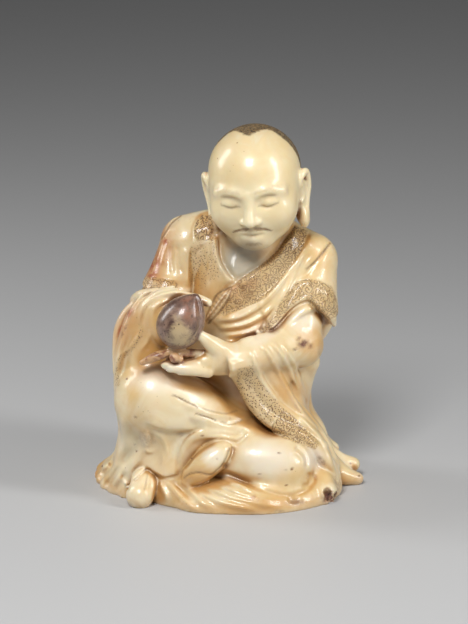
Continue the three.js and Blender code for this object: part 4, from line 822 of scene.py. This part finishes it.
def mesh_of_field():
    inside = field < 0
    nz, ny, nx = field.shape
    corners = list(product((0, 1), repeat=3))
    shifted = (inside[z : nz - 1 + z, y : ny - 1 + y, x : nx - 1 + x] for x, y, z in corners)
    total = sum(part.astype(np.uint8) for part in shifted)
    shell = np.nonzero((total > 0) & (total < 8))
    number = np.full((nz - 1, ny - 1, nx - 1), -1, np.int32)
    number[shell] = np.arange(len(shell[0]))
    base = np.stack(shell[::-1], axis=1)
    summed, crossings = np.zeros((len(base), 3)), np.zeros(len(base))
    for a, n in product(corners, range(3)):
        if a[n]:
            continue
        b = tuple(1 if m == n else a[m] for m in range(3))
        fa, fb = (field[shell[0] + c[2], shell[1] + c[1], shell[2] + c[0]] for c in (a, b))
        crossed = (fa < 0) != (fb < 0)
        t = np.where(crossed, fa / np.where(crossed, fa - fb, 1), 0)
        summed += crossed[:, None] * (np.array(a) + t[:, None] * np.subtract(b, a))
        crossings += crossed
    places = LOW + GRID * (base + summed / crossings[:, None])
    quads = []
    for n in range(3):
        others = [m for m in range(3) if m != n]
        low, high = [slice(None)] * 3, [slice(None)] * 3
        low[2 - n], high[2 - n] = slice(0, -1), slice(1, None)
        edge = np.stack(np.nonzero(inside[tuple(low)] != inside[tuple(high)])[::-1], axis=1)
        edge = edge[(edge[:, others] > 0).all(1)]
        outward = inside[edge[:, 2], edge[:, 1], edge[:, 0]] ^ (n == 1)
        ring = []
        for back in ((0, 0), (-1, 0), (-1, -1), (0, -1)):
            c = edge.copy()
            c[:, others] += back
            ring.append(number[c[:, 2], c[:, 1], c[:, 0]])
        ring = np.stack(ring, axis=1)
        quads.append(np.where(outward[:, None], ring, ring[:, ::-1]))
    for _ in range(SETTLINGS):
        slope = gradient_at(places, GRID * SLOPE_REACH)
        move = field_at(places)[:, None] * slope / np.maximum((slope * slope).sum(1), SHALLOWEST)[:, None]
        places -= np.clip(move, -LONGEST_MOVE * GRID, LONGEST_MOVE * GRID)
    places[:, 2] = np.where(places[:, 2] < FOOT, 0, places[:, 2])
    return places, np.concatenate(quads)


carve()
places, faces = mesh_of_field()
mesh = bpy.data.meshes.new("luohan")
mesh.from_pydata((places * MM).tolist(), [], faces.tolist())
mesh.validate()
luohan = bpy.data.objects.new("luohan", mesh)
bpy.context.scene.collection.objects.link(luohan)
bpy.ops.object.select_all(action="DESELECT")
bpy.context.view_layer.objects.active = luohan
luohan.select_set(True)
thinner = luohan.modifiers.new("thinner", "DECIMATE")
thinner.ratio = TRIANGLES / (2 * len(faces))
thinner.use_collapse_triangulate = True
bpy.ops.object.modifier_apply(modifier=thinner.name)
mesh.shade_smooth()


# Marks that the material reads, one value a point


def of_points(name):
    flat = np.empty(3 * len(mesh.vertices))
    mesh.vertices.foreach_get(name, flat)
    return flat.reshape(-1, 3)


def mark(name, values):
    attribute = mesh.attributes.new(name, "FLOAT", "POINT")
    attribute.data.foreach_set("value", np.asarray(values, np.float32))


P, N = of_points("co") / MM, of_points("normal")
ACROSS, UP, DEPTH = (P @ axis for axis in (FRONT.across, FRONT.up, FRONT.towards))
FACING = N @ FRONT.towards


def hollow(reach):
    """How far the stone closes in round each point, 0 in the open."""
    return np.clip(1 - field_at(P + N * reach) / reach, 0, 1)


def inked():
    """Pigment in the engraved lines."""
    core, soft = 0.08, 0.36  # half the width of full pigment, and the width it fades over
    value = np.zeros(len(P))
    for view, run, pigment in engraved:
        near = np.nonzero(((P > run.min(0) - 1.5) & (P < run.max(0) + 1.5)).all(1))[0]
        if len(near):
            away = near_run(view.drawn(run), view.drawn(P[near]))[0]
            value[near] = np.maximum(value[near], pigment * (1 - smooth01((away - core) / soft)))
    return value


def borders():
    """Mask of the ornamented borders, way along and across each in millimetres, and share of scrolls."""
    mask, along, aside, kind = np.zeros(len(P)), np.zeros(len(P)), np.full(len(P), 9.0), np.zeros(len(P))
    for count, (middle, half, level, scrolls, fade) in enumerate(bands):
        low, high = middle.min(0) - 4, middle.max(0) + 4
        near = (ACROSS > low[0]) & (ACROSS < high[0]) & (UP > low[1]) & (UP < high[1]) & (FACING > 0)
        near = np.nonzero(near)[0]
        drawn = np.stack([ACROSS[near], UP[near], np.zeros(len(near))], axis=1)
        best, side, way, _, gone = near_run(np.pad(middle, ((0, 0), (0, 1))), drawn)
        passed = np.append(0, np.cumsum(np.linalg.norm(np.diff(middle, axis=0), axis=1)))
        reach, deep = (np.interp(way, passed, values) for values in (half, level))
        inner = smooth01((reach - best) / 0.3 + 0.5) * smooth01(np.minimum(way, gone - way) / fade)
        inner *= np.abs(DEPTH[near] - deep) < 7
        take = (best < reach + 1.5) & (np.abs(side) < np.abs(aside[near]) + 0.8) & (inner >= mask[near])
        where = near[take]
        mask[where], along[where], aside[where] = inner[take], way[take] + 40 * count, side[take]
        kind[where] = scrolls
    return mask, along, np.clip(aside, -9, 9), kind


def patches(spots):
    """Soft spots drawn on the front: centre across and up, half sizes, turn in degrees, strength."""
    facing = smooth01((FACING + 0.1) / 0.3)
    value = np.zeros(len(P))
    for a, b, wide, high, turned, strength in spots:
        c, s = math.cos(math.radians(turned)), math.sin(math.radians(turned))
        u, v = (ACROSS - a) * c + (UP - b) * s, (UP - b) * c - (ACROSS - a) * s
        value = np.maximum(value, strength * facing * (1 - smooth01(np.hypot(u / wide, v / high) - 0.4)))
    return value


def within(centre, radii, soft=0.35):
    """1 inside an ellipsoid, fading to 0 outside."""
    return 1 - smooth01((np.linalg.norm((P - centre) / radii, axis=1) - 1) / soft + 0.5)


def on_roll(points):
    """1 on a rounded form of the front drawing, fading to 0 off it."""
    spine = curve_through([front(*p) for p in points])
    return 1 - smooth01(np.min([np.linalg.norm(P - s[:3], axis=1) - s[3] for s in spine], axis=0) / 0.5)


def hair():
    """Short hair cut to a point over the forehead and back over the temples."""
    local = (P - HEAD_CENTRE) @ HEAD_AXES.T
    x, y, z = local.T
    aside = np.abs(x)
    edge = -2.2 + 4.7 * smooth01(aside / 5.5) - smooth01((aside - 6) / 3)
    cap = np.linalg.norm(local / [15.5, 18.5, 19], axis=1) < 1
    cap = cap * (aside < 13.4 + 0.5 * (y > 4)) * (P[:, 2] > 78)
    return smooth01((y - edge) / 0.5 + 0.5) * smooth01((z + 9) / 0.6 + 0.5) * cap


PATCHES = {
    "rust": [
        (-19.6, 70, 1.3, 1, 0, 0.9), (-23, 63.4, 1.6, 4, -10, 1), (-23.8, 60.4, 1.4, 1.6, 0, 0.8),
        (-7.2, 73.4, 1.2, 2.4, 0, 1), (1, 56.4, 3, 2, 40, 0.5), (4.6, 58, 2.6, 1.6, 40, 0.45),
        (-32, 46, 0.7, 3.4, -26, 1), (5.5, -2.5, 1.4, 0.9, 0, 0.7), (-30, 49.6, 0.8, 2, -35, 0.7),
        (8.4, 59.6, 1.4, 1, 30, 0.4), (-20.4, 64, 0.5, 0.5, 0, 0.8),
    ],
    "glow": [
        (-22, 68, 5, 9, -14, 1), (-24, 60, 4, 5, 0, 1), (-31, 46, 4, 9, -20, 0.7), (1, 55, 6, 4, 35, 0.5),
        (-11, 3.2, 4.6, 3, 20, 0.35),
    ],
    "plum": [
        (26.8, -2.6, 2.2, 2.4, -20, 1), (24.8, 7.6, 0.6, 1.8, 40, 0.8), (17.2, -3.8, 2.6, 0.9, 0, 0.6),
        (-31.4, 44.6, 0.4, 2.2, -26, 1), (12.6, -6.4, 1.5, 0.6, 0, 0.4), (-25, 14, 2.6, 3, 0, 0.35),
        (19.4, 41, 1.6, 1.2, 0, 1), (21.6, 40.2, 1, 0.8, 0, 0.8), (17, 39.4, 0.7, 0.5, 0, 0.9),
        (18, 42.4, 0.9, 0.5, 40, 0.9), (29.4, 1, 1.2, 2.6, 20, 0.5),
    ],
    "sooty": [
        (17.6, 70.4, 5, 5, 0, 1), (-8.6, 75, 4, 5, 0, 1), (5, 27, 4.6, 9, 12, 0.8), (13, 19, 9, 5, -38, 0.7),
    ],
    # golden brown: the stone's own tone at the shoe's toe, the fan and the strands; painted shade under the
    # knee, in the lap, at the elbow and over the hanging sleeve
    "golden_and_shade": [
        (-11, 3, 6, 3, 20, 1), (-41, 4, 2, 4, 0, 1), (-4, -5.6, 12, 2, 0, 0.5), (8, -4.4, 10, 2.2, 0, 0.8),
        (-26, 43, 6, 9, -10, 0.9), (12.5, 30, 3.4, 9, 33, 0.85), (20, 25, 3, 9, 30, 0.7),
        (22, 41.6, 4.4, 4.6, 0, 1), (-12, 61, 5, 8, 0, 0.3), (-2, 26, 5, 8, 40, 0.7),
    ],
    # dark grey: the chest between the lapels, partly the stone's own grey, partly painted shadow of the head;
    # also a strip by the left elbow
    "pale": [(2, 64.4, 6.5, 6, 0, 1), (24.2, 39.6, 0.8, 2.6, 0, 0.7)],
    # milky white: the stone's own white at the long sleeve's end, painted highlight on the knee, shoe, thigh
    # and arm
    "milk_and_highlight": [
        (9, 8.6, 8, 5.5, 0, 0.8), (22.4, 8.4, 3.4, 3.4, 0, 0.8), (-6, 9, 3, 2.6, 30, 0.7),
        (-22, 31, 7, 4, 0, 0.6), (19, 47, 4, 3, 0, 0.6), (8, 44, 6, 3, 30, 0.5),
    ],
}
# small dark spots: across, up, radius
SPOTS = [
    (-28.6, 12.3, 0.25), (-28, 10.4, 0.3), (-28.2, 20.6, 0.35), (-38.6, 5.2, 0.3), (7, 4.2, 0.35),
    (14.6, 5.3, 0.3), (12, 10.2, 0.3), (14.4, 1, 0.3), (-9, 15.1, 0.3), (-12.2, 8.4, 0.3), (33.6, 6, 0.35),
    (36, 2.6, 0.35), (-30.6, 31, 0.3), (-5, 8.4, 0.2), (3.6, 9.8, 0.25), (-16.6, 41.4, 0.2), (26.4, 55, 0.3),
    (16.2, 5.6, 0.3),
]
PATCHES["spots"] = [(a, b, 0.85 * r, 0.85 * r, 0, 1) for a, b, r in SPOTS]
for name, spots in PATCHES.items():
    mark(name, patches(spots))
for name, values in zip(("hem", "hem_along", "hem_aside", "scrolls"), borders()):
    mark(name, values)
mark("ink", inked())
mark("hair", hair())
# Painted shade: the colour darkens in creases, by how far the stone closes in round each point
mark("crevice", np.clip(0.5 * hollow(0.9) + 0.3 * hollow(2) + 0.4 * hollow(4), 0, 1))
# Painted shade: broad hollows, where the stone closes in over several millimetres
mark("deep", np.clip(0.5 * hollow(4) + 0.6 * hollow(8), 0, 1))
# Darker towards the ground: partly painted shade of the low, downward-facing stone, partly stain on its lower
# edges
mark("low", 1 - smooth01(P[:, 2] / 9))
# Painted highlight: how far a point stands out on a crest, where the colour is made paler
mark("crest", np.clip(1 + field_at(P - N * 2.2) / 2.2, 0, 1))
mark("head", 1 - smooth01((np.linalg.norm(P - in_head(0, -1, -1), axis=1) - 15) / 4))
face = 1 - smooth01((np.linalg.norm(P - in_head(0, -12, -5), axis=1) - 9) / 4)
# Fewer specks and less painted crevice shade on the face and on the given smooth places round the shoes
smooth_places = [(-8, 7, 10, 6, 42, 0.9), (-24, 1, 5, 6, 0, 0.8), (0, 2.6, 6, 3.4, -20, 0.6)]
mark("clean", np.maximum(face, patches(smooth_places)))
mark("peach", on_roll(PEACH))
flesh = within(front(-14.8, 42.6, -27), [4.6, 5, 3.4], 1.2)
mark("flesh", flesh + 0.5 * within(front(-16.4, 47, -26), [2, 3, 3], 0.9))
mark("blush", within(front(-12.6, 51, -24), [3, 3.6, 4], 0.9))
leaf = [(-26, 35.8, -21, 1), (-22, 37.6, -20.6, 1.7), (-18.6, 38.6, -20, 1.5), (-14, 38.6, -20.5, 1.5)]
leaf = on_roll([*leaf, (-10, 38.6, -19.4, 1)]) * smooth01((-9.5 - ACROSS) / 3)
buds = [within(front(-17, 37.2, -22), 1.9), within(front(-15.4, 36.7, -21.6), 1.5)]
mark("leaf", np.max([leaf, *buds], axis=0))


# The stone's material


class Value:
    """A shader socket with arithmetic."""

    tree = None

    def __init__(self, socket):
        self.socket = socket

    @staticmethod
    def feed(node, sockets):
        """Gives a node's sockets their values or links."""
        for name, value in sockets.items():
            if isinstance(value, Value):
                Value.tree.links.new(value.socket, node.inputs[name])
            else:
                node.inputs[name].default_value = value

    @staticmethod
    def node(kind, output, sockets, **settings):
        """An output of a new node, whose settings are made before its sockets are fed."""
        node = Value.tree.nodes.new("ShaderNode" + kind)
        for name, value in settings.items():
            setattr(node, name, value)
        Value.feed(node, sockets)
        return Value(node.outputs[output])

    @staticmethod
    def math(operation, *inputs, clamp=False):
        return Value.node("Math", 0, dict(enumerate(inputs)), operation=operation, use_clamp=clamp)

    def clamp(self):
        return Value.math("ADD", self, 0.0, clamp=True)

    def step(self, start, end):
        """0 at start, 1 at end, smooth between."""
        sockets = {"Value": self, "From Min": start, "From Max": end}
        return Value.node("MapRange", "Result", sockets, interpolation_type="SMOOTHSTEP")


for sign, operation in (("add", "ADD"), ("sub", "SUBTRACT"), ("mul", "MULTIPLY"), ("truediv", "DIVIDE")):
    setattr(Value, f"__{sign}__", lambda a, b, o=operation: Value.math(o, a, b))
    setattr(Value, f"__r{sign}__", lambda a, b, o=operation: Value.math(o, b, a))


def marked(name):
    return Value.node("Attribute", "Fac", {}, attribute_name=name)


def placed(stretch=(1, 1, 1), offset=(0, 0, 0)):
    coordinates = Value.node("TexCoord", "Object", {})
    return Value.node("Mapping", "Vector", {"Vector": coordinates, "Scale": stretch, "Location": offset})


def noise(per_mm, detail=3.0, roughness=0.5, distortion=0.0, offset=(0, 0, 0)):
    sockets = {"Vector": placed(offset=offset), "Scale": per_mm / MM, "Detail": detail}
    return Value.node("TexNoise", "Fac", {**sockets, "Roughness": roughness, "Distortion": distortion})


def cells(per_mm, offset=(0, 0, 0)):
    return Value.node("TexVoronoi", "Distance", {"Vector": placed(offset=offset), "Scale": per_mm / MM})


def mixed(share, a, b):
    """Two colours mixed; a plain one is three numbers."""
    a, b = ((*tone, 1) if isinstance(tone, tuple) else tone for tone in (a, b))
    return Value.node("Mix", 2, {0: share, 6: a, 7: b}, data_type="RGBA")


def laid(colour, *layers):
    """A colour with layers of others over it, each a share and a tone."""
    for share, tone in layers:
        colour = mixed(share.clamp(), colour, tone)
    return colour


def new_material(name):
    material = bpy.data.materials.new(name)
    material.use_nodes = True
    Value.tree = material.node_tree
    return material, material.node_tree.nodes["Principled BSDF"]


def curls(fine):
    """How deep the scrolls and the stippling between them are cut into the ornamented borders."""
    curl = 2.7  # millimetres from one scroll to the next
    sway = 3.2  # how far the noise shifts them
    winding = 7.5  # how tightly a scroll winds
    along = marked("hem_along") + (noise(0.3, 2, 0.5, offset=(2, 9, 4)) - 0.5) * sway
    aside = marked("hem_aside") + (noise(0.3, 2, 0.5, offset=(8, 2, 6)) - 0.5) * sway
    row = aside / curl + 0.5
    turns = along / curl + Value.math("FLOOR", row) * 0.5
    across = (Value.math("FRACT", turns) - 0.5) * curl
    raised = (Value.math("FRACT", row) - 0.5) * curl
    flip = Value.math("FRACT", Value.math("FLOOR", turns) * 0.5).step(0.2, 0.3) * 2.0 - 1.0
    reach = Value.math("SQRT", across * across + raised * raised)
    round_it = Value.math("ARCTAN2", raised * flip, across)
    scroll = Value.math("SINE", round_it + reach * winding).step(0.3, 0.95) * marked("scrolls")
    punched = cells(1.7, offset=(1, 1, 1)).step(0.42, 0.2)
    return (scroll * 0.75 + punched * (1 - scroll) * 0.9).clamp()


def stone():
    material, shader = new_material("stone")
    crevice, crest, ink, hair, hem, rust, plum, pale, low, clean, head, sooty, scrolls = map(
        marked, "crevice crest ink hair hem rust plum pale low clean head sooty scrolls".split()
    )
    cloud = noise(0.035, 3, 0.55, 0.6)
    wisps = noise(0.11, 4, 0.6, 1.2, offset=(0.4, 0.2, 0.1))
    fine = noise(0.6, 3, 0.6, offset=(0.1, 0.7, 0.3))
    tint = noise(0.05, 2, 0.5, 0.8, offset=(6, 2, 4))
    broken = noise(0.4, 4, 0.7, 0.5, offset=(5, 3, 1))
    specks = cells(0.22).step(0.075, 0.03) * noise(0.05, 2, offset=(3, 1, 2)).step(0.52, 0.62)
    dust = cells(0.7, offset=(3, 3, 3)).step(0.11, 0.05) * noise(0.12, 2, offset=(7, 1, 2)).step(0.56, 0.66)
    open_stone = 1 - clean
    cream, warm = (0.79, 0.68, 0.46), (0.71, 0.51, 0.24)
    # honey and amber are the warm tones of the painted shade in hollows and creases; honey also darkens the
    # stone near the ground
    honey, amber = (0.52, 0.26, 0.065), (0.20, 0.07, 0.014)
    colour = laid(
        mixed((cloud * 0.7 + wisps * 0.5).step(0.42, 0.75), cream, warm),
        (tint.step(0.5, 0.72) * (1 - head) * 0.35, (0.75, 0.48, 0.22)),
        (wisps.step(0.5, 0.7) * tint.step(0.5, 0.36) * 0.6, (0.76, 0.71, 0.58)),
        # painted shade: honey in the broad hollows
        ((marked("deep") + (cloud - 0.5) * 0.6).step(0.16, 0.78) * 0.85, honey),
        # honey towards the ground: partly painted shade, partly stain
        ((low + (wisps - 0.5) * 1.2).step(0.4, 1.3) * 0.6, honey),
        (marked("glow") * (0.35 + wisps * 0.8), (0.50, 0.22, 0.075)),
        # painted highlight: paler on the crests, less near the ground
        (crest.step(0.1, 0.7) * (1 - low * 0.6) * 0.45, (0.86, 0.79, 0.60)),
        (head * (0.75 - wisps * 0.4), (0.77, 0.66, 0.41)),
        # milky white: partly the stone's own white, partly painted highlight
        (marked("milk_and_highlight") * (0.5 + wisps * 0.6), (0.82, 0.77, 0.66)),
        # dark grey chest: partly the stone's own grey, partly painted shadow of the head
        (pale * (0.6 + wisps * 0.7), (0.34, 0.31, 0.24)),
        # painted shade: amber in the creases, less on the face, the smooth places and near the ground
        ((crevice + (wisps - 0.5) * 0.3).step(0.3, 0.95) * (0.85 - clean * 0.6 - low * 0.3), amber),
        (specks * open_stone * 0.8, (0.30, 0.12, 0.03)),
        (dust * open_stone * 0.7, (0.20, 0.09, 0.03)),
        # golden brown: partly the stone's own tone, partly painted shade
        (marked("golden_and_shade") * (0.35 + wisps * 0.75), (0.60, 0.33, 0.10)),
        (marked("spots") * 1.2, (0.20, 0.07, 0.015)),
        (rust * broken.step(0.36, 0.6), (0.36, 0.09, 0.035)),
        (plum * (fine * 0.5 + broken).step(0.5, 0.9), (0.14, 0.045, 0.028)),
    )
    mottle = noise(0.22, 5, 0.7, 0.6, offset=(1, 5, 2))
    peach_skin = laid(
        mixed(mottle.step(0.36, 0.64), (0.085, 0.042, 0.03), (0.28, 0.18, 0.13)),
        (marked("flesh") * 1.6 + (mottle - 0.5) * 2.8 - 0.6, (0.48, 0.36, 0.20)),
        (marked("blush") * broken.step(0.35, 0.65) * 0.8, (0.30, 0.125, 0.07)),
        (cells(0.75, offset=(2, 4, 1)).step(0.26, 0.1) * broken.step(0.42, 0.52), (0.06, 0.028, 0.02)),
    )
    leaf_skin = mixed(mottle.step(0.38, 0.54), (0.22, 0.065, 0.03), (0.52, 0.31, 0.15))
    cut_line = curls(fine)
    dots = cells(1.9).step(0.55, 0.25)
    grain = noise(0.9, 2, 0.6, offset=(2, 2, 7))
    colour = laid(
        mixed(marked("peach"), colour, peach_skin),
        (marked("leaf") * 0.92, leaf_skin),
        (hem * (0.35 + scrolls * 0.2 + sooty * 0.3), (0.52, 0.33, 0.125)),
        (hem * cut_line * (0.35 + fine * 0.8 + sooty * 0.4), (0.13, 0.055, 0.018)),
        (ink * (0.35 + fine * 0.9), (0.20, 0.10, 0.035)),
        (hair * (0.65 + grain * 0.6), mixed(dots, (0.17, 0.105, 0.042), (0.014, 0.008, 0.004))),
    )
    roughness = 0.27 + wisps * 0.15 + hair * 0.3 + ink * 0.2 + hem * 0.25 + plum * 0.3 + pale * 0.22
    height = wisps * 0.25 - dots * hair * 0.5 - cut_line * hem * 0.6 - plum * broken * 1.2
    relief = Value.node("Bump", "Normal", {"Distance": 0.0004, "Strength": 0.6, "Height": height})
    sockets = {
        "Base Color": colour,
        "Roughness": roughness.clamp(),
        "Normal": relief,
        "Subsurface Weight": 0.32,
        "Subsurface Radius": (1.0, 0.66, 0.32),
        "Subsurface Scale": 0.0022,
        "IOR": 1.55,
        "Coat Weight": 0.35,
        "Coat Roughness": 0.07,
    }
    Value.feed(shader, sockets)
    return material


mesh.materials.append(stone())
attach(luohan, "root")
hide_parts("luohan_figure")


# Floor, light and camera

bpy.ops.mesh.primitive_plane_add(size=6, location=(0, 0, 0))
floor = bpy.context.object
floor.name = "floor"
pale_floor, shader = new_material("pale floor")
Value.feed(shader, {"Base Color": (0.5, 0.5, 0.5, 1), "Roughness": 0.6})
floor.data.materials.append(pale_floor)

world = bpy.data.worlds.new("studio")
bpy.context.scene.world = world
world.use_nodes = True
Value.feed(world.node_tree.nodes["Background"], {"Color": (0.78, 0.78, 0.78, 1), "Strength": 0.1})


def softbox(name, place, aim, size, watts):
    light = bpy.data.lights.new(name, "AREA")
    light.shape, light.size, light.size_y, light.energy = "RECTANGLE", *size, watts
    lamp = bpy.data.objects.new(name, light)
    bpy.context.scene.collection.objects.link(lamp)
    lamp.location = place
    away = unit(np.subtract(place, aim))
    lamp.rotation_euler = (math.acos(away[2]), 0, math.atan2(away[1], away[0]) + math.pi / 2)


softbox("key softbox", (-0.12, -0.44, 0.52), (0, 0, 0.05), (0.2, 0.2), 3.4)
softbox("side softbox", (0.45, -0.24, 0.32), (0, 0, 0.05), (0.1, 0.4), 1.9)
softbox("rim softbox", (-0.42, 0.1, 0.3), (0, 0, 0.06), (0.12, 0.3), 0.9)

camera = bpy.data.objects.new("camera", bpy.data.cameras.new("camera"))
bpy.context.scene.collection.objects.link(camera)
camera.data.lens = 201.9
camera.data.clip_start = 0.05
tilt = math.radians(FRONT_TILT)
aim = np.array([-0.0003, 0, 0.050 / math.cos(tilt)])
camera.location = aim + np.array([0, -math.cos(tilt), math.sin(tilt)])
camera.rotation_euler = (math.pi / 2 - tilt, 0, 0)
bpy.context.scene.view_settings.view_transform = "Standard"
bpy.context.scene.camera = camera
